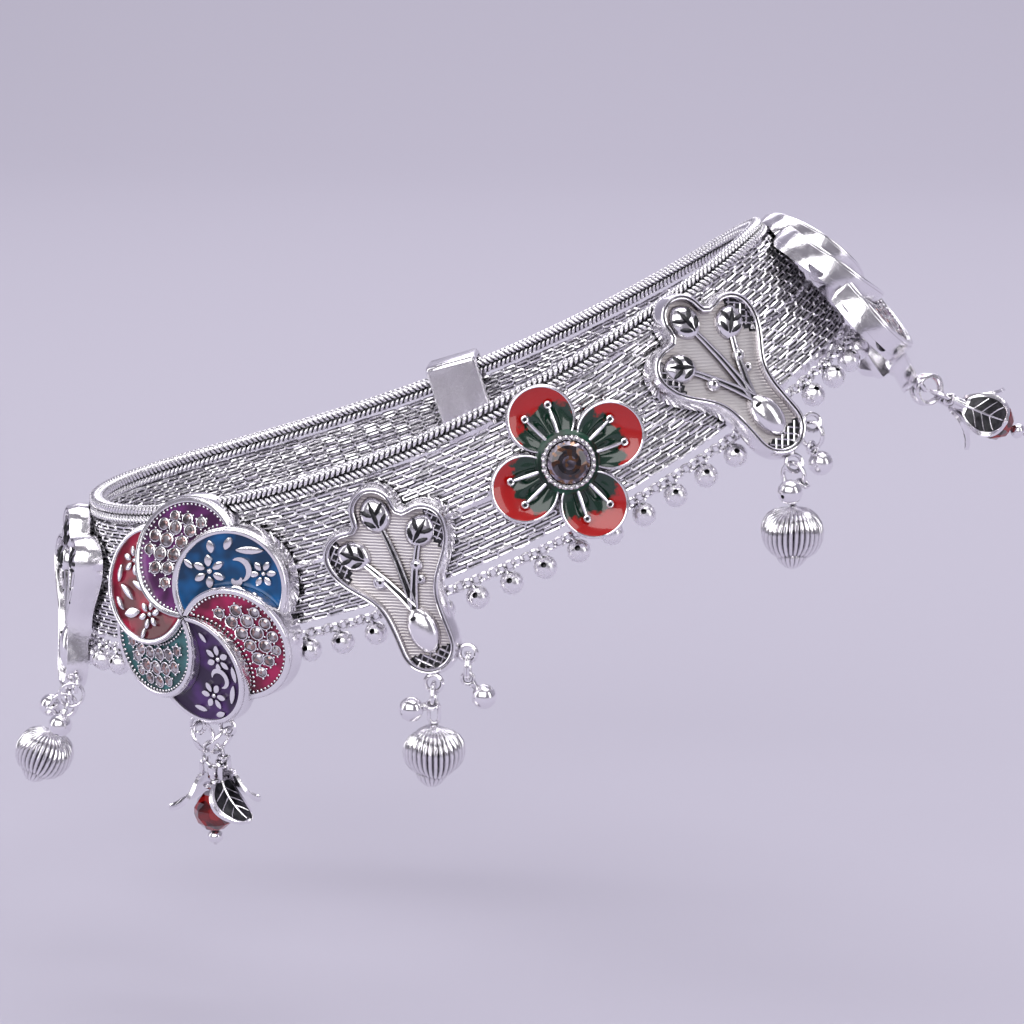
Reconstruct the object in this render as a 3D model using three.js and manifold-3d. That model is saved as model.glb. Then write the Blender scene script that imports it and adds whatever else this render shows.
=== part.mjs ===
// A payal anklet as it is worn: a slanted, flaring band of woven silver chain round the ankle,
// with cast and enamelled motifs on its outer side, a fringe of small balls and hanging drops.
// Millimetres, +Z up. +X points to the toes, -Y to the side with the motifs.
// The origin is the middle of the opening that the ankle goes through.

import * as THREE from 'three';
import { mergeVertices } from 'three/addons/utils/BufferGeometryUtils.js';
import Module from 'manifold-3d';

const wasm = await Module();
wasm.setup();

// The band's loop. Angle 0 is the near side (-Y), 90 degrees the front of the ankle (+X).
const loopSize = {
  halfLength: 40.8,
  halfWidth: 28,
  middleX: -1.5,
  height: 5.1,
  frontRise: 16.8,
  endRise: 6.2,
  twist: 0.7,
};
const flare = { near: 5.2, front: 6.85, both: -0.35, side: 1.1, meshHeight: 17.4 };

// Strands of the band, by their distance down from the top edge.
const loopSections = 44;
const topChain = { from: 0, to: 2.2, thickness: 2 };
const upperBand = { from: 2.55, to: 9.7, thickness: 1.6 };
const lowerBand = { from: 10.2, to: 16.6, thickness: 1.6 };
const fringe = { down: 18, chainRadius: 0.85, balls: 62, ballRadius: 1.4, ballRows: 3, ballDrop: 1.9 };

// The clasp's sleeve on the hidden side, where the fringe has no balls.
const claspSleeve = { length: 7, height: 21.6, depth: 5, wall: 0.8, down: 9.3, ballFree: 7 };

// Gaps between pieces that touch on the real thing.
const bandFace = 1.15;
const fringeFace = 1.6;

// Motifs, by their place on the band: angle round the loop, distance down, turn on the band.
const stations = {
  heelPlaque: { angle: -72.5, down: 13.3, turn: 11.6 },
  sideFlower: { angle: -32.4, down: 12.9, turn: -14.5 },
  nearPlaque: { angle: -0.9, down: 15.2, turn: 6.1 },
  fourPetal: { angle: 24.6, down: 10.1, turn: 5.7 },
  instepPlaque: { angle: 51.2, down: 12.4, turn: 6.7 },
  frontFlower: { angle: 97.4, down: 14.6, turn: 95 },
};

// Six-petal pinwheel flower: round petals that pass through the flower's middle.
const pinwheel = {
  petals: 6,
  firstAxis: 105,
  petalRadius: 7,
  petalReach: 6.8,
  crown: 5.9,
  wallHeight: 3.2,
  outwardTilt: 14,
  sideTilt: 6,
  rim: 0.7,
  recess: 0.8,
  overlap: 0.35,
  sides: 12,
  cavityRadius: 10.4,
  floor: 0.8,
  eyeletTurn: 17,
  eyeletSink: 0.5,
  eyeletHeight: 2.05,
};
const petalColours = ['purple', 'blue', 'pink', 'violet', 'teal', 'red'];

// Oval windows in the flower's side wall: angles from the way along the band.
const gallery = {
  angles: [-26, 0, 26, 154, 180, 206],
  radius: 1.1,
  narrowing: 0.62,
  height: 0.45,
};

// Flower with four round petals about a stone.
const clover = {
  petalRadius: 4,
  petalReach: 5.7,
  rimHeight: 2.9,
  rim: 0.45,
  recess: 1.1,
  bezelRadius: 3.15,
  bezelHeight: 4.2,
  petalSides: 12,
  bezelSides: 14,
  hollowRadius: 6.7,
  postRadius: 2,
  stoneRadius: 2.45,
  stoneSides: 12,
};

// Three-lobed filigree plaque with a rounded tail.
const plaque = {
  sideLobe: { x: 4.7, y: 5.3, radius: 3.3 },
  topLobe: { y: 9.2, radius: 3.1 },
  waist: { x: 4.3, y: -1.5 },
  tail: { y: -7.5, radius: 3.7 },
  rimHeight: 3.6,
  rim: 0.8,
  floor: 2.7,
  underFloor: 1.9,
  hollowRadius: 5.6,
  hollowWidth: 4.8,
  window: { length: 5, width: 2.2, height: 1.3, middle: 1 },
  windows: [[6.9, 6.2], [-6.9, 6.2], [4.2, -3.4], [-4.2, -3.4]],
  eyelets: [[-1.3, -11.9], [3.8, -10.05]],
  eyeletHeight: 2.5,
};

// Relief in the plaque: leaves as place, turn and length, on stems from a fork, a bulb and beads.
const relief = {
  fork: [0.1, -3],
  leaves: [
    { x: 0, y: 8.6, turn: 90, length: 3.6 },
    { x: 4.1, y: 5, turn: 40, length: 3.4 },
    { x: -4.1, y: 5, turn: 140, length: 3.4 },
  ],
  leafHeight: 0.7,
  stemRadius: 0.32,
  bulb: { y: -5.6, size: [1.9, 2.8, 1.1] },
  beads: [[-2.2, 0.9], [2.1, 0.9]],
  beadRadius: 0.6,
};

// Jump rings, eyes and drops.
const eyelet = { radius: 1.0, wire: 0.27, segments: 8, sides: 4 };
const jumpRing = { radius: 1.5, wire: 0.3, segments: 10, sides: 5 };
const tulipRing = { radius: 1.75, wire: 0.3, segments: 10, sides: 5 };
const eye = { radius: 0.68, wire: 0.22, segments: 8, sides: 5 };
const dropBall = { radius: 1.45, sides: 10, rows: 3, tubeRadius: 0.42, tubeSides: 5 };
const leftBall = { ringTurn: 62, toSide: -1, drop: 0.25, reach: 2.5 };
const rightBall = { ringTurn: 0, toSide: 0.8, drop: 0.9, reach: 2.8 };
const pinEye = { radius: 1.5, wire: 0.27, segments: 10, sides: 5 };
const petalEye = { radius: 0.6, wire: 0.2, segments: 8, sides: 4 };
const ringsApart = 0.5;
const pinEyeDrop = 0.45;

// Turned pieces of the drops as radius and distance down, from the bud's neck and the pin's shoulder.
const budSides = 12;
const budProfile = [
  [0, 0], [0.42, 0], [0.42, 1.7], [2.6, 2.3], [3.45, 4], [2.9, 5.9], [1.8, 6.5], [1, 8.2], [0, 8.8],
];
const pinSides = 8;
const pinProfile = [
  [0, 0], [0.75, 0.1], [0.75, 1.5], [0.35, 2], [1.3, 2.3],
  [0.32, 3.1], [0.32, 7.9], [0.95, 8.6], [0.7, 9.5], [0, 9.8],
];
const beadSides = 10;
const beadProfile = [
  [0.5, 3.3], [1.2, 3.3], [2.45, 5], [2.45, 6], [1.2, 7.7], [0.5, 7.7], [0.5, 3.3],
];
const tulip = {
  petalLength: 6.4,
  petalWidth: 3,
  strap: 1.5,
  strapWidth: 0.7,
  thickness: 0.5,
  spread: 4.4,
  fall: 4.6,
};
const sidePetals = [
  { wireTurn: 215, sideTurn: 0, azimuth: 190 },
  { wireTurn: 318, sideTurn: -60, azimuth: -4 },
  { wireTurn: 356, sideTurn: 60, azimuth: 72 },
];
const frontPetals = [
  { wireTurn: 215, sideTurn: 0, azimuth: 180 },
  { wireTurn: 318, sideTurn: -60, azimuth: -50 },
  { wireTurn: 356, sideTurn: 60, azimuth: 62 },
];

const degrees = THREE.MathUtils.degToRad;
const looks = {
  silver: { color: 0xdcdae2, roughness: 0.22, metalness: 1 },
  purple: { color: 0x7a4a78, roughness: 0.3, metalness: 0.2 },
  blue: { color: 0x0d3f7c, roughness: 0.2, metalness: 0.1 },
  pink: { color: 0xb23a6e, roughness: 0.3, metalness: 0.2 },
  violet: { color: 0x3d1f5c, roughness: 0.2, metalness: 0.1 },
  teal: { color: 0x5f9a94, roughness: 0.3, metalness: 0.2 },
  red: { color: 0xa30f24, roughness: 0.2, metalness: 0.1 },
  stone: { color: 0x9d90a0, roughness: 0.05, metalness: 0 },
  bead: { color: 0x6d0a0c, roughness: 0.08, metalness: 0 },
};

// Corners closer than this are made one after a join or a cut.
const mergeTolerance = 0.05;

const anklet = new THREE.Group();

// Closed meshes and their joins and cuts.

function toSolid(geometry) {
  const bare = geometry.index ? geometry.clone() : mergeVertices(geometry);
  bare.deleteAttribute('normal');
  bare.deleteAttribute('uv');
  const merged = mergeVertices(bare, 1e-5);
  const vertProperties = new Float32Array(merged.attributes.position.array);
  const triVerts = new Uint32Array(merged.index.array);
  return new wasm.Manifold(new wasm.Mesh({ numProp: 3, vertProperties, triVerts }));
}

function toGeometry(solid) {
  const mesh = solid.asOriginal().simplify(mergeTolerance).getMesh();
  const geometry = new THREE.BufferGeometry();
  geometry.setAttribute('position', new THREE.BufferAttribute(new Float32Array(mesh.vertProperties), 3));
  geometry.setIndex(new THREE.BufferAttribute(new Uint32Array(mesh.triVerts), 1));
  geometry.computeVertexNormals();
  return geometry;
}

function join(geometries) {
  return geometries.map(toSolid).reduce((whole, part) => whole.add(part));
}

function addPiece(parent, name, geometry, look) {
  const piece = new THREE.Mesh(geometry, new THREE.MeshStandardMaterial(look));
  piece.name = name;
  parent.add(piece);
  return piece;
}

function turned(profile, sides) {
  const points = profile.map(([radius, height]) => new THREE.Vector2(radius, height));
  return new THREE.LatheGeometry(points, sides).rotateX(Math.PI / 2);
}

function wireRing({ radius, wire, segments, sides }) {
  return new THREE.TorusGeometry(radius, wire, sides, segments);
}

// The loop's surface: top edge, the way down from it, and the way out.

function topEdge(angle) {
  const s = Math.sin(angle);
  const z = loopSize.height + loopSize.frontRise * s + loopSize.endRise * s * s + loopSize.twist * s ** 3;
  return new THREE.Vector3(
    loopSize.middleX + loopSize.halfLength * s,
    -loopSize.halfWidth * Math.cos(angle),
    z,
  );
}

function wayDown(angle) {
  const s = Math.sin(angle);
  const x = flare.near + flare.front * s + flare.both * s * s;
  const y = -flare.side * Math.cos(angle);
  const z = -Math.sqrt(flare.meshHeight ** 2 - x * x - y * y);
  return new THREE.Vector3(x, y, z).divideScalar(flare.meshHeight);
}

function onMiddle(angle, down) {
  return topEdge(angle).addScaledVector(wayDown(angle), down);
}

function wayOut(angle, down) {
  const step = 0.001;
  const along = onMiddle(angle + step, down).sub(onMiddle(angle - step, down));
  return wayDown(angle).cross(along).normalize();
}

function onBand(angle, down, out) {
  return onMiddle(angle, down).addScaledVector(wayOut(angle, down), out);
}

// Angles that lie evenly along the loop at a distance down from its top edge.
function evenAngles(down, count) {
  const steps = 720;
  const angles = Array.from({ length: steps + 1 }, (unused, k) => (2 * Math.PI * k) / steps);
  const points = angles.map((angle) => onMiddle(angle, down));
  const lengths = [0];
  for (let k = 1; k <= steps; k += 1) {
    lengths.push(lengths[k - 1] + points[k].distanceTo(points[k - 1]));
  }
  return Array.from({ length: count }, (unused, n) => {
    const wanted = (lengths[steps] * (n + 0.5)) / count;
    const k = lengths.findIndex((length) => length >= wanted);
    const part = (wanted - lengths[k - 1]) / (lengths[k] - lengths[k - 1]);
    return THREE.MathUtils.lerp(angles[k - 1], angles[k], part);
  });
}

// A closed section (out, down) turned on the lathe and then laid round the loop.
function ringOnLoop(section, sections) {
  const latheRadius = 100;
  const points = section.map(([out, down]) => new THREE.Vector2(latheRadius + out, -down));
  points.push(points[0].clone());
  const ring = new THREE.LatheGeometry(points, sections);
  const position = ring.attributes.position;
  for (let i = 0; i < position.count; i += 1) {
    const angle = Math.atan2(position.getX(i), position.getZ(i));
    const out = Math.hypot(position.getX(i), position.getZ(i)) - latheRadius;
    const placed = onBand(angle, -position.getY(i), out);
    position.setXYZ(i, placed.x, placed.y, placed.z);
  }
  return ring;
}

function flatSection({ from, to, thickness }) {
  const half = thickness / 2;
  return [[half, from], [-half, from], [-half, to], [half, to]];
}

function roundSection(down, radius, sides) {
  return Array.from({ length: sides }, (unused, k) => {
    const turn = Math.PI / 2 - ((k + 0.5) / sides) * 2 * Math.PI;
    return [radius * Math.cos(turn), down + radius * Math.sin(turn)];
  });
}

// Where a motif stands: x along the band to the toes, y up the band, z out of it.
function bandFrame({ angle, down, turn }) {
  const theta = degrees(angle);
  const out = wayOut(theta, down);
  const up = wayDown(theta).negate();
  const along = new THREE.Vector3().crossVectors(up, out).normalize();
  const basis = new THREE.Matrix4().makeBasis(along, up, out);
  const frame = new THREE.Group();
  frame.quaternion.setFromRotationMatrix(basis);
  frame.rotateZ(degrees(turn));
  frame.position.copy(onMiddle(theta, down));
  frame.updateMatrixWorld(true);
  anklet.add(frame);
  return frame;
}

// Everything that the band and its fringe fill, with room to spare, for the backs of castings.
const roomDepth = 13;
const roomSection = [
  [bandFace, -6], [-roomDepth, -6], [-roomDepth, 34], [fringeFace, 34], [fringeFace, 17.2], [bandFace, 16.8],
];
const bandRoom = toSolid(ringOnLoop(roomSection, loopSections));

function cutToBand(solid, frame) {
  const inverse = frame.matrixWorld.clone().invert();
  return solid.subtract(bandRoom.transform(inverse.elements));
}

function addEyelets(casting, places) {
  const rings = places.map((place) => toSolid(wireRing(eyelet).translate(place.x, place.y, place.z)));
  return rings.reduce((sum, ring) => sum.add(ring), casting);
}

// Strands of the band.

function bandStrands() {
  addPiece(anklet, 'top_chain', ringOnLoop(flatSection(topChain), loopSections), looks.silver);
  addPiece(anklet, 'upper_band', ringOnLoop(flatSection(upperBand), loopSections), looks.silver);
  addPiece(anklet, 'lower_band', ringOnLoop(flatSection(lowerBand), loopSections), looks.silver);
}

function ballFringe() {
  const parts = [toSolid(ringOnLoop(roundSection(fringe.down, fringe.chainRadius, 5), loopSections))];
  const places = evenAngles(fringe.down, fringe.balls);
  const besideClasp = places.filter((angle) => Math.abs(angle - Math.PI) >= degrees(claspSleeve.ballFree));
  for (const angle of besideClasp) {
    const middle = onMiddle(angle, fringe.down + fringe.ballDrop);
    const ball = new THREE.SphereGeometry(fringe.ballRadius, dropBall.sides, fringe.ballRows);
    const stand = new THREE.Quaternion().setFromUnitVectors(new THREE.Vector3(0, -1, 0), wayDown(angle));
    ball.applyQuaternion(stand).translate(middle.x, middle.y, middle.z);
    parts.push(toSolid(ball));
  }
  const whole = parts.reduce((sum, part) => sum.add(part));
  addPiece(anklet, 'ball_fringe', toGeometry(whole), looks.silver);
}

// The plain clasp on the hidden side: a flat sleeve round the band's strands.
function clasp() {
  const sleeve = claspSleeve;
  const frame = bandFrame({ angle: 180, down: sleeve.down, turn: 0 });
  const inside = { height: sleeve.height - 2 * sleeve.wall, depth: sleeve.depth - 2 * sleeve.wall };
  const outer = new THREE.BoxGeometry(sleeve.length, sleeve.height, sleeve.depth);
  const slot = new THREE.BoxGeometry(sleeve.length * 2, inside.height, inside.depth);
  addPiece(frame, 'clasp', toGeometry(toSolid(outer).subtract(toSolid(slot))), looks.silver);
}

// Pinwheel flower.

function petalAxis(k) {
  return degrees(pinwheel.firstAxis - (360 / pinwheel.petals) * k);
}

function petalFrame(k) {
  const tilt = degrees(pinwheel.outwardTilt);
  const height = pinwheel.crown - pinwheel.petalReach * Math.tan(tilt);
  return new THREE.Matrix4()
    .makeRotationZ(petalAxis(k))
    .multiply(new THREE.Matrix4().makeTranslation(pinwheel.petalReach, 0, height))
    .multiply(new THREE.Matrix4().makeRotationY(tilt))
    .multiply(new THREE.Matrix4().makeRotationX(degrees(pinwheel.sideTilt)));
}

function petalDisc(profile, k) {
  return toSolid(turned(profile, pinwheel.sides).applyMatrix4(petalFrame(k)));
}

function petalCutter(radius, k) {
  return petalDisc([[0, -12], [radius, -12], [radius, 4], [0, 4]], k);
}

function galleryHole(angle) {
  const { radius, narrowing, height } = gallery;
  const hole = new THREE.CylinderGeometry(radius, radius, 8, 6).rotateZ(Math.PI / 2).scale(1, 1, narrowing);
  return toSolid(hole.translate(pinwheel.cavityRadius + 3, 0, height).rotateZ(degrees(angle)));
}

function pinwheelCasting(frame, turn) {
  const { petalRadius, rim, recess, wallHeight, overlap, crown, cavityRadius, floor } = pinwheel;
  const inner = petalRadius - rim;
  const tray = [
    [0, -wallHeight], [petalRadius, -wallHeight], [petalRadius, 0],
    [inner, 0], [inner, -recess], [0, -recess],
  ];
  let casting = null;
  for (let k = 0; k < pinwheel.petals; k += 1) {
    const petal = petalDisc(tray, k).subtract(petalCutter(petalRadius - overlap, k + 1));
    casting = casting ? casting.add(petal) : petal;
  }
  const slope = Math.tan(degrees(pinwheel.outwardTilt));
  const cavityTop = crown - recess - floor;
  const cavityEdge = cavityTop - slope * cavityRadius;
  const cavity = turned([[0, -12], [cavityRadius, -12], [cavityRadius, cavityEdge], [0, cavityTop]], 10);
  casting = casting.subtract(toSolid(cavity));
  for (const angle of gallery.angles) {
    casting = casting.subtract(galleryHole(angle - turn));
  }
  return cutToBand(casting, frame);
}

function petalEnamel(k) {
  const radius = pinwheel.petalRadius - pinwheel.rim - 0.2;
  const under = -pinwheel.recess + 0.2;
  const disc = petalDisc([[0, under], [radius, under], [radius, -0.12], [0, -0.12]], k);
  return disc.subtract(petalCutter(pinwheel.petalRadius + 0.2, k + 1));
}

// The axis of the petal that points down when the flower stands at its turn.
function bottomAxis(turn) {
  const axes = petalColours.map((colour, k) => petalAxis(k));
  const heights = axes.map((axis) => Math.sin(axis + degrees(turn)));
  return axes[heights.indexOf(Math.min(...heights))];
}

// The two eyelets under the bottom petal.
function pinwheelEyelets(turn) {
  const axis = bottomAxis(turn);
  const reach = pinwheel.petalRadius - pinwheel.eyeletSink + eyelet.radius;
  return [-1, 1].map((side) => {
    const direction = degrees(-90 - turn + side * pinwheel.eyeletTurn);
    const x = pinwheel.petalReach * Math.cos(axis) + reach * Math.cos(direction);
    const y = pinwheel.petalReach * Math.sin(axis) + reach * Math.sin(direction);
    return new THREE.Vector3(x, y, pinwheel.eyeletHeight);
  });
}

function pinwheelFlower(name, station) {
  const frame = bandFrame(station);
  const places = pinwheelEyelets(station.turn);
  const casting = addEyelets(pinwheelCasting(frame, station.turn), places);
  addPiece(frame, `${name}_casting`, toGeometry(casting), looks.silver);
  petalColours.forEach((colour, k) => {
    addPiece(frame, `${name}_enamel_${k + 1}`, toGeometry(petalEnamel(k)), looks[colour]);
  });
  return places.map((place) => frame.localToWorld(place.clone()));
}

// Flower with four petals and a stone.

function cloverPetal(profile, k) {
  const petal = turned(profile, clover.petalSides).translate(clover.petalReach, 0, 0);
  return toSolid(petal.rotateZ((k * Math.PI) / 2));
}

function cloverCasting(floor) {
  const { petalRadius, rimHeight, bezelRadius, bezelHeight, hollowRadius, postRadius } = clover;
  const inner = petalRadius - clover.rim;
  const seat = clover.stoneRadius + 0.3;
  const tray = [
    [0, -8], [petalRadius, -8], [petalRadius, rimHeight], [inner, rimHeight], [inner, floor], [0, floor],
  ];
  const bezel = turned([
    [0, -8], [bezelRadius, -8], [bezelRadius, bezelHeight], [seat, bezelHeight], [seat, floor], [0, floor],
  ], clover.bezelSides);
  const hollow = turned([[0, -9], [hollowRadius, -9], [hollowRadius, floor - 0.7], [0, floor - 0.7]], 12);
  const post = turned([[0, 0], [postRadius, 0], [postRadius, floor - 0.3], [0, floor - 0.3]], 8);
  return [0, 1, 2, 3]
    .map((k) => cloverPetal(tray, k))
    .reduce((sum, petal) => sum.add(petal), toSolid(bezel))
    .subtract(toSolid(hollow))
    .add(toSolid(post));
}

function cloverEnamel(floor, k) {
  const radius = clover.petalRadius - clover.rim - 0.2;
  const bottom = floor + 0.2;
  const top = clover.rimHeight - 0.2;
  const room = clover.bezelRadius + 0.25;
  const bezelRoom = toSolid(turned([[0, -9], [room, -9], [room, 9], [0, 9]], clover.bezelSides));
  return cloverPetal([[0, bottom], [radius, bottom], [radius, top], [0, top]], k).subtract(bezelRoom);
}

// Pointed underneath, with a girdle and a table.
function cutStone(floor) {
  const { stoneRadius, bezelHeight, stoneSides } = clover;
  const girdle = bezelHeight - 0.1;
  return turned([
    [0, floor + 0.3], [0.6, floor + 0.5], [stoneRadius, girdle], [stoneRadius, girdle + 0.25],
    [stoneRadius * 0.62, girdle + 1], [0, girdle + 1],
  ], stoneSides);
}

function fourPetalFlower() {
  const frame = bandFrame(stations.fourPetal);
  const floor = clover.rimHeight - clover.recess;
  const casting = cutToBand(cloverCasting(floor), frame);
  addPiece(frame, 'four_petal_casting', toGeometry(casting), looks.silver);
  for (let k = 0; k < 4; k += 1) {
    addPiece(frame, `four_petal_enamel_${k + 1}`, toGeometry(cloverEnamel(floor, k)), looks.red);
  }
  addPiece(frame, 'centre_stone', cutStone(floor), looks.stone);
}

// Filigree plaque.

function plaqueOutline(inset) {
  const { sideLobe, topLobe, waist, tail } = plaque;
  const side = sideLobe.radius - inset;
  const top = topLobe.radius - inset;
  const end = tail.radius - inset;
  const waistX = waist.x - inset;
  const widest = sideLobe.x + side;
  const shape = new THREE.Shape();
  shape.absarc(0, tail.y, end, Math.PI, 2 * Math.PI, false);
  shape.bezierCurveTo(end, tail.y + 3, waistX - 0.6, waist.y - 1, waistX, waist.y);
  shape.bezierCurveTo(waistX + 0.5, waist.y + 1.6, widest, sideLobe.y - 3.4, widest, sideLobe.y);
  shape.absarc(sideLobe.x, sideLobe.y, side, 0, degrees(125), false);
  shape.absarc(0, topLobe.y, top, degrees(-20), degrees(200), false);
  shape.absarc(-sideLobe.x, sideLobe.y, side, degrees(55), degrees(180), false);
  shape.bezierCurveTo(-widest, sideLobe.y - 3.4, -waistX - 0.5, waist.y + 1.6, -waistX, waist.y);
  shape.bezierCurveTo(-waistX + 0.6, waist.y - 1, -end, tail.y + 3, -end, tail.y);
  return shape;
}

function plaqueSlab(inset, bottom, top) {
  const options = { depth: top - bottom, bevelEnabled: false, curveSegments: 3 };
  return toSolid(new THREE.ExtrudeGeometry(plaqueOutline(inset), options).translate(0, 0, bottom));
}

function plaqueLeaf({ x, y, turn, length }) {
  const leaf = new THREE.SphereGeometry(1, 6, 4).scale(length / 2, length / 3.4, relief.leafHeight);
  return toSolid(leaf.rotateZ(degrees(turn)).translate(x, y, plaque.floor + 0.1));
}

function plaqueStem(from, to) {
  const path = new THREE.LineCurve3(
    new THREE.Vector3(from[0], from[1], plaque.floor),
    new THREE.Vector3(to[0], to[1], plaque.floor),
  );
  const section = new THREE.Shape();
  section.absarc(0, 0, relief.stemRadius, 0, 2 * Math.PI, false);
  const options = { steps: 1, extrudePath: path, bevelEnabled: false, curveSegments: 3 };
  return toSolid(new THREE.ExtrudeGeometry(section, options));
}

function plaqueRelief() {
  const stems = relief.leaves.map(({ x, y }) => plaqueStem([x, y], relief.fork));
  const bulb = new THREE.SphereGeometry(1, 6, 4).scale(...relief.bulb.size);
  bulb.translate(0, relief.bulb.y, plaque.floor);
  const beads = relief.beads.map(([x, y]) => (
    toSolid(new THREE.SphereGeometry(relief.beadRadius, 6, 4).translate(x, y, plaque.floor + 0.2))
  ));
  return [...relief.leaves.map(plaqueLeaf), ...stems, toSolid(bulb), ...beads];
}

// The open back of the plaque: round behind the lobes and straight behind the tail.
function plaqueHollow() {
  const { hollowRadius, hollowWidth, underFloor, tail } = plaque;
  const bottom = -8;
  const depth = underFloor - bottom;
  const round = new THREE.CylinderGeometry(hollowRadius, hollowRadius, depth, 10).rotateX(Math.PI / 2);
  round.translate(0, plaque.sideLobe.y, underFloor - depth / 2);
  const length = plaque.sideLobe.y - tail.y;
  const straight = new THREE.BoxGeometry(hollowWidth, length, depth);
  straight.translate(0, tail.y + length / 2, underFloor - depth / 2);
  return join([round, straight]);
}

function filigreePlaque(name, station) {
  const frame = bandFrame(station);
  const { rim, rimHeight, floor, window, windows, eyelets, eyeletHeight } = plaque;
  let casting = plaqueSlab(0, -7, rimHeight)
    .subtract(plaqueSlab(rim, floor, rimHeight + 1))
    .subtract(plaqueHollow());
  for (const [x, y] of windows) {
    const hole = new THREE.BoxGeometry(window.length, window.width, window.height);
    casting = casting.subtract(toSolid(hole.translate(x, y, window.middle)));
  }
  casting = plaqueRelief().reduce((sum, part) => sum.add(part), casting);
  const places = eyelets.map(([x, y]) => new THREE.Vector3(x, y, eyeletHeight));
  casting = addEyelets(cutToBand(casting, frame), places);
  addPiece(frame, `${name}_casting`, toGeometry(casting), looks.silver);
  return places.map((place) => frame.localToWorld(place.clone()));
}

// Drops. Their frame has z up the hanging direction, x along the band and y to the back.

function hangingFrame(top, along, down) {
  const up = down.clone().negate().normalize();
  const back = new THREE.Vector3().crossVectors(up, along).normalize();
  const side = new THREE.Vector3().crossVectors(back, up).normalize();
  const frame = new THREE.Group();
  frame.quaternion.setFromRotationMatrix(new THREE.Matrix4().makeBasis(side, back, up));
  frame.position.copy(top);
  frame.updateMatrixWorld(true);
  anklet.add(frame);
  return frame;
}

// A ring that stands across x, through the eye at its top, leaning by an angle about y.
function hangingRing(size, lean) {
  const ring = wireRing(size).rotateY(Math.PI / 2).translate(0, 0, -size.radius);
  return ring.rotateY(lean);
}

// A point on such a ring's wire: turn 0 is its lowest point, positive turns go to the front.
function onRing(size, turn) {
  return new THREE.Vector3(0, -size.radius * Math.sin(turn), -size.radius * (1 + Math.cos(turn)));
}

// A turned piece from a profile that runs down from a height.
function hangingTurned(profile, height, sides) {
  return turned(profile.map(([radius, down]) => [radius, height - down]).reverse(), sides);
}

function eyeAround(size, turn) {
  const place = onRing(size, turn);
  return wireRing(eye).rotateX(Math.PI / 2 - turn).translate(place.x, place.y, place.z);
}

// A ball on a short tube whose eye goes round a ring's wire.
function tubeBall(size, { ringTurn, toSide, drop, reach }) {
  const turn = degrees(ringTurn);
  const place = onRing(size, turn);
  const direction = new THREE.Vector3(toSide, 0, -drop).normalize();
  const quaternion = new THREE.Quaternion().setFromUnitVectors(new THREE.Vector3(0, 1, 0), direction);
  const { tubeRadius, tubeSides } = dropBall;
  const tube = new THREE.CylinderGeometry(tubeRadius, tubeRadius, reach - eye.radius, tubeSides);
  tube.translate(0, (reach + eye.radius) / 2, 0).applyQuaternion(quaternion);
  const ball = new THREE.SphereGeometry(dropBall.radius, dropBall.sides, dropBall.rows);
  ball.translate(0, reach, 0).applyQuaternion(quaternion);
  tube.translate(place.x, place.y, place.z);
  ball.translate(place.x, place.y, place.z);
  return toGeometry(join([eyeAround(size, turn), tube, ball]));
}

function budDrop(name, tops, down) {
  const along = tops[1].clone().sub(tops[0]);
  const frame = hangingFrame(tops[0], along, down);
  const second = hangingFrame(tops[1], along, down);
  addPiece(frame, `${name}_ring_a`, hangingRing(jumpRing, 0), looks.silver);
  addPiece(second, `${name}_ring_b`, hangingRing(jumpRing, 0), looks.silver);
  const eyeHeight = -2 * jumpRing.radius;
  const neck = eyeHeight - eye.radius;
  const globe = hangingTurned(budProfile, neck, budSides);
  const budEye = wireRing(eye).rotateX(Math.PI / 2).translate(0, 0, eyeHeight);
  addPiece(frame, `${name}_bud`, toGeometry(join([budEye, globe])), looks.silver);
  addPiece(frame, `${name}_ball_a`, tubeBall(jumpRing, leftBall), looks.silver);
  addPiece(second, `${name}_ball_b`, tubeBall(jumpRing, rightBall), looks.silver);
}

// A leaf-shaped petal on a strap. Its root is at the origin; it falls along -z and flares along +x.
function tulipPetal() {
  const { petalLength, petalWidth, strap, strapWidth, thickness, spread, fall } = tulip;
  const half = strapWidth / 2;
  const bulge = petalWidth * 0.95;
  const shape = new THREE.Shape();
  shape.moveTo(-half, 0);
  shape.lineTo(-half, -strap);
  shape.bezierCurveTo(-bulge, -strap - 1.2, -bulge, -strap - petalLength * 0.7, 0, -strap - petalLength);
  shape.bezierCurveTo(bulge, -strap - petalLength * 0.7, bulge, -strap - 1.2, half, -strap);
  shape.lineTo(half, 0);
  const blade = new THREE.ExtrudeGeometry(shape, { depth: thickness, bevelEnabled: false, curveSegments: 3 });
  const position = blade.attributes.position;
  for (let i = 0; i < position.count; i += 1) {
    const along = -position.getY(i);
    const past = Math.max(0, along - strap) / petalLength;
    const out = spread * (0.4 * past + 0.6 * past * past);
    const low = Math.min(along, strap) + fall * (1.3 * past - 0.3 * past * past);
    const face = position.getZ(i) - thickness / 2;
    position.setXYZ(i, out + face, position.getX(i), -low + (past > 0 ? face * 0.8 : 0));
  }
  return blade;
}

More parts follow.
